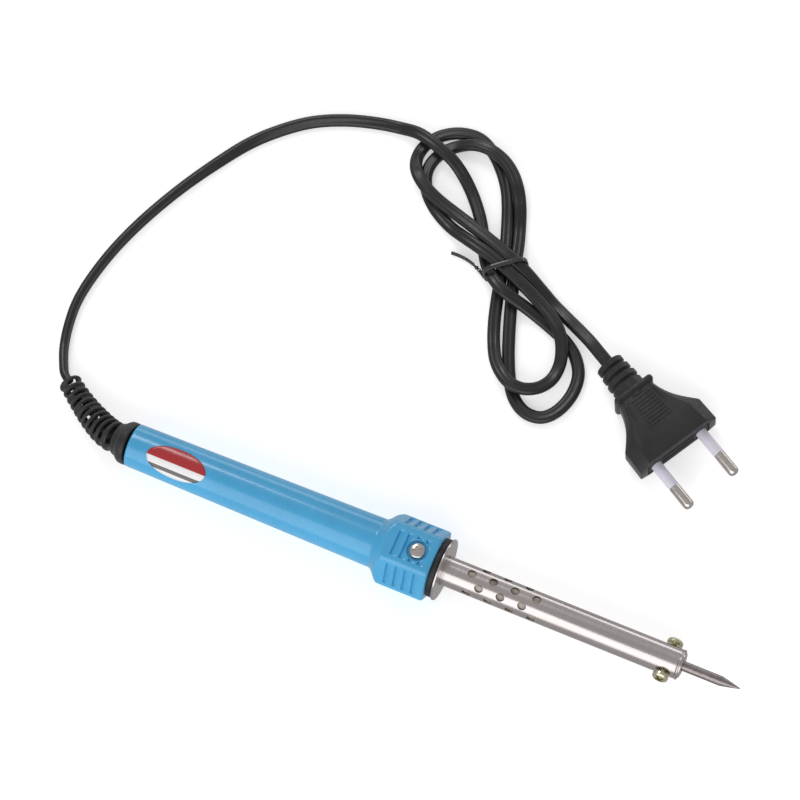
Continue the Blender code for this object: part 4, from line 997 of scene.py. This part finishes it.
class IRON_OT_strain_relief(bpy.types.Operator):
    """Ribbed and slotted sleeve that leads the cord out of the handle"""

    bl_idname = "soldering_iron.strain_relief"
    bl_label = "Strain relief"

    def execute(self, context):
        ribs = context.scene.iron_sizes.rib_count
        bend, bend_length = smooth_route(RELIEF_ROUTE_MM, 90)
        straight = REAR_X - bend[0].x
        rows = [(place * MM, radius * MM, None) for place, radius in RELIEF_CAP]
        first = FIRST_RIB
        pitch = (straight + bend_length - first) / ribs
        for rib in range(ribs):
            crest = between([(0.0, 5.75), (1.0, 4.25)], rib / (ribs - 1)) * MM
            for share, sink in RIB_PROFILE:
                slot = rib if share <= RIB_SLOT_END else None
                rows.append((first + (rib + share) * pitch, crest - sink * MM, slot))
        rows.append((straight + bend_length, 3.6 * MM, None))
        bm = bmesh.new()
        turn_profile(bm, [(place, radius) for place, radius, _ in rows], 48)
        slotted = sorted({(place, slot) for place, _, slot in rows if slot is not None})
        starts = {slot: min(place for place, other in slotted if other == slot) for _, slot in slotted}
        ends = {slot: max(place for place, other in slotted if other == slot) for _, slot in slotted}
        gone = []
        for face in bm.faces:
            middle = face.calc_center_median()
            for slot, start in starts.items():
                if start < middle.z < ends[slot]:
                    long = slot < LONG_SLOTS
                    stagger = 0 if long else 48 * (slot % 2) - 18
                    angle = math.degrees(math.atan2(middle.y, middle.x)) + stagger
                    reach = 62 if long else 34
                    beneath = not long and abs(angle % 360 - 180) < 9
                    if beneath or abs((angle + 180) % 360 - 180) < reach:
                        gone.append(face)
        bmesh.ops.delete(bm, geom=gone, context="FACES")
        frames = upright_frames(bend)
        rear = Matrix.Translation((REAR_X, 0.0, AXIS_Z)) @ frames[0].to_3x3().to_4x4()
        for vert in bm.verts:
            off = Vector((vert.co.y, vert.co.x, 0.0))
            run = vert.co.z - straight
            if run <= 0:
                vert.co = rear @ (off + Vector((0.0, 0.0, vert.co.z)))
                continue
            spot = min(run / bend_length * (len(bend) - 1), len(bend) - 1.001)
            low = int(spot)
            before, after = frames[low], frames[low + 1]
            vert.co = (before @ off).lerp(after @ off, spot - low)
        bmesh.ops.recalc_face_normals(bm, faces=bm.faces)
        outward = 0.0
        for face in bm.faces:
            middle = face.calc_center_median()
            if middle.x > REAR_X - straight:
                outward += face.normal.dot(Vector((0.0, middle.y, middle.z - AXIS_Z)))
        if outward < 0:
            bmesh.ops.reverse_faces(bm, faces=bm.faces)
        made = piece("strain_relief", bm, "black_rubber", sharp=80.0)
        wall = made.modifiers.new("wall", "SOLIDIFY")
        wall.thickness = RELIEF_WALL
        wall.offset = -1.0
        soften = made.modifiers.new("soften", "SUBSURF")
        soften.levels = soften.render_levels = 1
        CORD["pieces"].append(made)
        return {"FINISHED"}


class IRON_OT_tie(bpy.types.Operator):
    """Twist tie round the five strands, with its twisted knot and tail"""

    bl_idname = "soldering_iron.tie"
    bl_label = "Cord tie"

    def execute(self, context):
        across = Vector((math.cos(TIE_HEADING), math.sin(TIE_HEADING), 0.0))
        along = Vector((-math.sin(TIE_HEADING), math.cos(TIE_HEADING), 0.0))
        up = Vector((0.0, 0.0, 1.0))
        centre = Vector(TIE_CENTRE_MM) * MM
        section = rounded_section(1.7 * MM, 0.7 * MM, 0.3 * MM)
        frames = []
        ring = rounded_section(16.0 * MM, 9.1 * MM, 3.6 * MM, 8)
        for i, (x, z) in enumerate(ring):
            ahead = Vector(ring[(i + 1) % len(ring)]) - Vector(ring[i - 1])
            ahead.normalize()
            forward = across * ahead.x + up * ahead.y
            outward = across * ahead.y - up * ahead.x
            place = centre + across * x + up * (z + 5.0 * MM)
            place = place + along * 0.8 * MM * math.sin(i / len(ring) * math.tau)
            turn = Matrix((along, outward, forward)).transposed().to_4x4()
            frames.append(Matrix.Translation(place) @ turn)
        bm = bmesh.new()
        sweep(bm, frames, section, closed=True)
        knot = centre - across * 7.9 * MM + up * 3.4 * MM
        tail_end, bow = Vector(TIE_END_MM) * MM, Vector(TIE_BOW_MM) * MM
        path = []
        for i in range(41):
            t = i / 40
            path.append(knot * (1 - t) ** 2 + bow * 2 * t * (1 - t) + tail_end * t**2)
        tail_frames = []
        for i, frame_at in enumerate(upright_frames(path)):
            twist = math.radians(900.0) * max(1 - i / 16, 0.0) ** 1.5 + math.radians(70.0)
            tail_frames.append(frame_at @ Matrix.Rotation(twist, 4, "Z"))
        sweep(bm, tail_frames, rounded_section(1.6 * MM, 0.6 * MM, 0.25 * MM))
        clean(bm)
        made = piece("cord_tie", bm, "cord_jacket", look="tie_film", sharp=50.0)
        CORD["pieces"].append(made)
        return {"FINISHED"}


# ---------------------------------------------------------------- plug


def plug_place(across=0.0):
    """A place on the plug: X the way the pins point, from the middle of its face."""
    axis = PLUG_MOUNT["axis"]
    turn = Matrix.Rotation(math.atan2(axis[1], axis[0]), 4, "Z")
    return Matrix.Translation(PLUG_MOUNT["pos_m"]) @ turn @ Matrix.Translation((0.0, across, 0.0))


def plug_outline(face_half, shoulder_half, neck_half, hollow):
    """Half outline of the plug from its face to its neck, as (along, half width)."""
    points = [(0.0, face_half), (-PLUG_SHOULDER, shoulder_half)]
    neck = PLUG_BODY - PLUG_SHOULDER
    for step in range(1, 11):
        share = step / 10
        width = shoulder_half + (neck_half - shoulder_half) * share - hollow * math.sin(share * math.pi)
        points.append((-PLUG_SHOULDER - neck * share, width))
    return points


def plug_height(x):
    """The plug's half thickness, which falls from its face to its neck."""
    return PLUG_HALF_THICKNESS - PLUG_DROP * smooth_step(-x / PLUG_BODY)


class IRON_OT_plug(bpy.types.Operator):
    """Two-pin plug: waisted body with a ridged back, its flange and its relief"""

    bl_idname = "soldering_iron.plug"
    bl_label = "Plug"

    def execute(self, context):
        outer = plug_outline(*mm(16.5, 16.3, 6.9, 1.9))
        raised = plug_outline(*mm(12.4, 11.6, 5.6, 0.8))
        bm = bmesh.new()
        loops = []
        for level, half in ((-1.0, raised), (-0.52, outer), (0.52, outer), (1.0, raised)):
            ring = [(x, y) for x, y in half] + [(x, -y) for x, y in reversed(half)]
            lean = -0.5 * MM if abs(level) == 1.0 else 0.0
            verts = [bm.verts.new((x + lean * (x > -MM), y, level * plug_height(x))) for x, y in ring]
            loops.append([bm.edges.new((verts[i - 1], verts[i])) for i in range(len(verts))])
        for low, high in zip(loops, loops[1:]):
            bmesh.ops.bridge_loops(bm, edges=low + high)
        bmesh.ops.contextual_create(bm, geom=loops[0])
        bmesh.ops.contextual_create(bm, geom=loops[-1])
        clean(bm)
        shared = [edge for edge in bm.edges if len(edge.link_faces) == 2]
        creases = [edge for edge in shared if edge.calc_face_angle() > math.radians(14)]
        round_edges(bm, creases, 0.45 * MM, 3)
        clean(bm)
        pocket = bmesh.new()
        add_block(pocket, mm(2.0, 27.0, 8.2), Matrix.Identity(4), 0.5 * MM, 3)
        bm = carve(bm, [pocket])
        for ridge in range(context.scene.iron_sizes.ridge_count):
            x = -10.9 * MM - ridge * 1.36 * MM
            wide = (9.6 - 0.16 * ridge) * MM
            rise = plug_height(x) - 0.1 * MM
            place = Matrix.Translation((x, 0.4 * MM, rise))
            add_block(bm, (0.5 * MM, wide, 0.7 * MM), place, 0.2 * MM, 2)
        for side in (-1, 1):
            x = -16.0 * MM
            lean = Matrix.Rotation(math.radians(5.0), 4, "Y")
            lean = lean @ Matrix.Rotation(math.radians(3.0 * side), 4, "Z")
            place = Matrix.Translation((x, side * 6.3 * MM, plug_height(x) - 0.12 * MM))
            add_block(bm, mm(13.0, 0.5, 0.6), place @ lean, 0.2 * MM, 2)
        bmesh.ops.transform(bm, matrix=plug_place(), verts=bm.verts)
        body = piece("plug_body", bm, "black_rubber", sharp=40.0)

        bm = bmesh.new()
        place = Matrix.Translation((-PLUG_BODY + 0.6 * MM, 0.0, 0.0))
        add_block(bm, mm(2.6, 16.2, 13.2), place, 1.2 * MM, 4)
        bmesh.ops.transform(bm, matrix=plug_place(), verts=bm.verts)
        flange = piece("plug_flange", bm, "black_rubber", replaces=False, sharp=40.0)

        profile = [(PLUG_BODY - 3 * MM, 0.0), (PLUG_BODY - 3 * MM, 6.1 * MM)]
        profile += [(PLUG_BODY + 3.4 * MM, 5.9 * MM), (PLUG_BODY + 3.8 * MM, 5.5 * MM)]
        for ring in range(3):
            start = PLUG_BODY + (3.9 + ring * 3.35) * MM
            crest = (5.9 - ring * 0.35) * MM
            for ahead, sink in ((0.0, 1.3), (0.7, 1.3), (0.85, 0.3), (1.15, 0.0), (2.75, 0.0), (3.05, 0.3)):
                profile.append((start + ahead * MM, crest - sink * MM))
        profile += [(PLUG_BODY + PLUG_RELIEF, 3.6 * MM), (PLUG_BODY + PLUG_RELIEF, 0.0)]
        bm = turned(profile, 64, place=plug_place() @ Matrix.Rotation(-math.pi / 2, 4, "Y"))
        relief = piece("plug_relief", bm, "black_rubber", replaces=False, sharp=40.0)
        CORD["pieces"] += [body, flange, relief]
        return {"FINISHED"}


class IRON_OT_pins(bpy.types.Operator):
    """The plug's carrier, its two pins and their sleeves"""

    bl_idname = "soldering_iron.pins"
    bl_label = "Plug pins"

    def execute(self, context):
        bm = bmesh.new()
        add_block(bm, mm(9.4, 26.4, 7.4), Matrix.Translation(mm(-4.9, 0.0, 0.0)), 0.4 * MM, 3)
        for level in (-1.6, 1.6):
            add_block(bm, mm(0.8, 13.8, 1.4), Matrix.Translation(mm(-0.3, 0.0, level)), 0.3 * MM, 2)
        bmesh.ops.transform(bm, matrix=plug_place(), verts=bm.verts)
        CORD["pieces"].append(piece("pin_carrier", bm, "black_moulding", sharp=40.0))
        for name, side in (("live", -1), ("neutral", 1)):
            place = plug_place(side * PIN_HALF_SPACING) @ Matrix.Rotation(math.pi / 2, 4, "Y")
            pin = [mm(-1, 0.0), mm(-1, 1.4), mm(9.7, 1.4), mm(9.9, 1.93), mm(17.6, 2.0)]
            for step in range(1, 8):
                angle = math.pi / 2 * step / 7
                radius = 2.0 * MM * max(math.cos(angle), 0.0) ** 0.6
                pin.append((17.6 * MM + 1.7 * MM * math.sin(angle), radius))
            sleeve = [mm(-1, 1.5), mm(-1, 2.0), mm(9.4, 2.0), mm(9.75, 1.95), mm(9.95, 1.75), mm(9.95, 1.5)]
            pin_bm, sleeve_bm = turned(pin, 64, place=place), turned(sleeve, 64, True, place)
            CORD["pieces"].append(piece(f"plug_pin_{name}", pin_bm, "nickel", sharp=40.0))
            CORD["pieces"].append(piece(f"pin_sleeve_{name}", sleeve_bm, "pale_sleeve", sharp=40.0))
        return {"FINISHED"}


# ---------------------------------------------------------------- inside


class IRON_OT_inner_finishes(bpy.types.Operator):
    """Finishes of the heater and the wiring, which keep their shapes from the frame"""

    bl_idname = "soldering_iron.inner_finishes"
    bl_label = "Inner pieces"

    def execute(self, context):
        for row in frame["record"]["subparts"]:
            node = frame["nodes"][row["node"]]
            if not node.hide_render:
                node.data.materials.clear()
                node.data.materials.append(FINISHES[row["material_slot"]])
        return {"FINISHED"}


class IRON_OT_finishes(bpy.types.Operator):
    """Makes every finish from the chosen colours"""

    bl_idname = "soldering_iron.finishes"
    bl_label = "Finishes"

    def execute(self, context):
        colours = context.scene.iron_colours
        tie_black, tie_shine = (0.016, 0.016, 0.018), (0.03, 0.03, 0.034)
        varied_finish(
            "blue_moulding", colours.moulding, 0.26,
            (60.0, 3.0, 0.96, 1.04), (350.0, 4.0, 0.22, 0.32), (420.0, 2.0, 0.00002, 0.15),
            stops=(0.35, 0.65), Coat_Weight=0.5, Coat_Roughness=0.08,
            Sheen_Weight=0.25, Sheen_Roughness=0.3,
        )
        varied_finish(
            "black_moulding", colours.black, 0.5,
            (300.0, 3.0, 0.8, 1.25), (900.0, 3.0, 0.42, 0.58), (3200.0, 4.0, 0.00004, 0.5),
            IOR=1.5,
        )
        varied_finish(
            "black_rubber", colours.black, 0.48,
            (220.0, 3.0, 0.8, 1.3), (700.0, 3.0, 0.36, 0.56), (2600.0, 5.0, 0.00005, 0.6),
            IOR=1.5, Sheen_Weight=0.15, Sheen_Roughness=0.5,
        )
        varied_finish(
            "cord_jacket", colours.jacket, 0.36,
            (90.0, 3.0, 0.8, 1.3), (500.0, 3.0, 0.28, 0.44), (1800.0, 4.0, 0.00003, 0.5),
            IOR=1.52, Coat_Weight=0.15, Coat_Roughness=0.25,
        )
        varied_finish(
            "plated_bit", colours.bit, 0.42,
            (700.0, 5.0, 0.82, 1.12), (1600.0, 3.0, 0.26, 0.42), (2600.0, 4.0, 0.00002, 0.5),
            Metallic=1.0,
        )
        varied_finish(
            "pale_sleeve", (0.74, 0.71, 0.82), 0.38,
            (300.0, 3.0, 0.96, 1.03), (900.0, 3.0, 0.32, 0.46), (1500.0, 3.0, 0.00002, 0.4),
            Subsurface_Weight=0.15, Subsurface_Scale=0.001,
        )
        steel_finish(colours.steel)
        plate_finish("tie_film", tie_black, tie_shine)
        plate_finish("yellow_zinc", (0.78, 0.70, 0.48), (0.66, 0.68, 0.50))
        plate_finish("nickel", (0.72, 0.69, 0.66), (0.64, 0.60, 0.56))
        label_finish(colours.label)
        mica_finish()
        grainy_finish("ceramic", (0.80, 0.77, 0.70), 0.45, 900.0)
        grainy_finish("glass_fibre", (0.72, 0.67, 0.55), 0.8, 1800.0)
        grainy_finish("brass", (0.72, 0.52, 0.22), 0.3, 900.0, 1.0)
        grainy_finish("brown_core", (0.20, 0.08, 0.035), 0.4, 700.0)
        grainy_finish("blue_core", (0.05, 0.16, 0.50), 0.4, 700.0)
        look = FINISHES["tie_film"].node_tree.nodes["Principled BSDF"]
        look.inputs["Metallic"].default_value = 0.0
        look.inputs["Coat Weight"].default_value = 0.6
        return {"FINISHED"}


# ---------------------------------------------------------------- panel and running


STEPS = (
    IRON_OT_finishes,
    IRON_OT_stage,
    IRON_OT_cord,
    IRON_OT_handle,
    IRON_OT_label,
    IRON_OT_front_stack,
    IRON_OT_barrel,
    IRON_OT_bit,
    IRON_OT_screws,
    IRON_OT_strain_relief,
    IRON_OT_tie,
    IRON_OT_plug,
    IRON_OT_pins,
    IRON_OT_inner_finishes,
)


class IRON_PT_panel(bpy.types.Panel):
    """Lists the sizes, the colours and the steps"""

    bl_label = "Soldering Iron"
    bl_idname = "IRON_PT_panel"
    bl_space_type = "VIEW_3D"
    bl_region_type = "UI"
    bl_category = "Soldering Iron"

    def draw(self, context):
        for group in (context.scene.iron_sizes, context.scene.iron_colours):
            column = self.layout.column()
            for name in group.__annotations__:
                column.prop(group, name)
        for step in STEPS:
            self.layout.operator(step.bl_idname)


CLASSES = (IronSizes, IronColours, *STEPS, IRON_PT_panel)


def register():
    for cls in CLASSES:
        bpy.utils.register_class(cls)
    bpy.types.Scene.iron_sizes = PointerProperty(type=IronSizes)
    bpy.types.Scene.iron_colours = PointerProperty(type=IronColours)


def unregister():
    del bpy.types.Scene.iron_colours
    del bpy.types.Scene.iron_sizes
    for cls in reversed(CLASSES):
        bpy.utils.unregister_class(cls)


def main():
    register()
    CORD["pieces"] = []
    for step in STEPS:
        group, name = step.bl_idname.split(".")
        getattr(getattr(bpy.ops, group), name)()


if __name__ == "__main__":
    main()
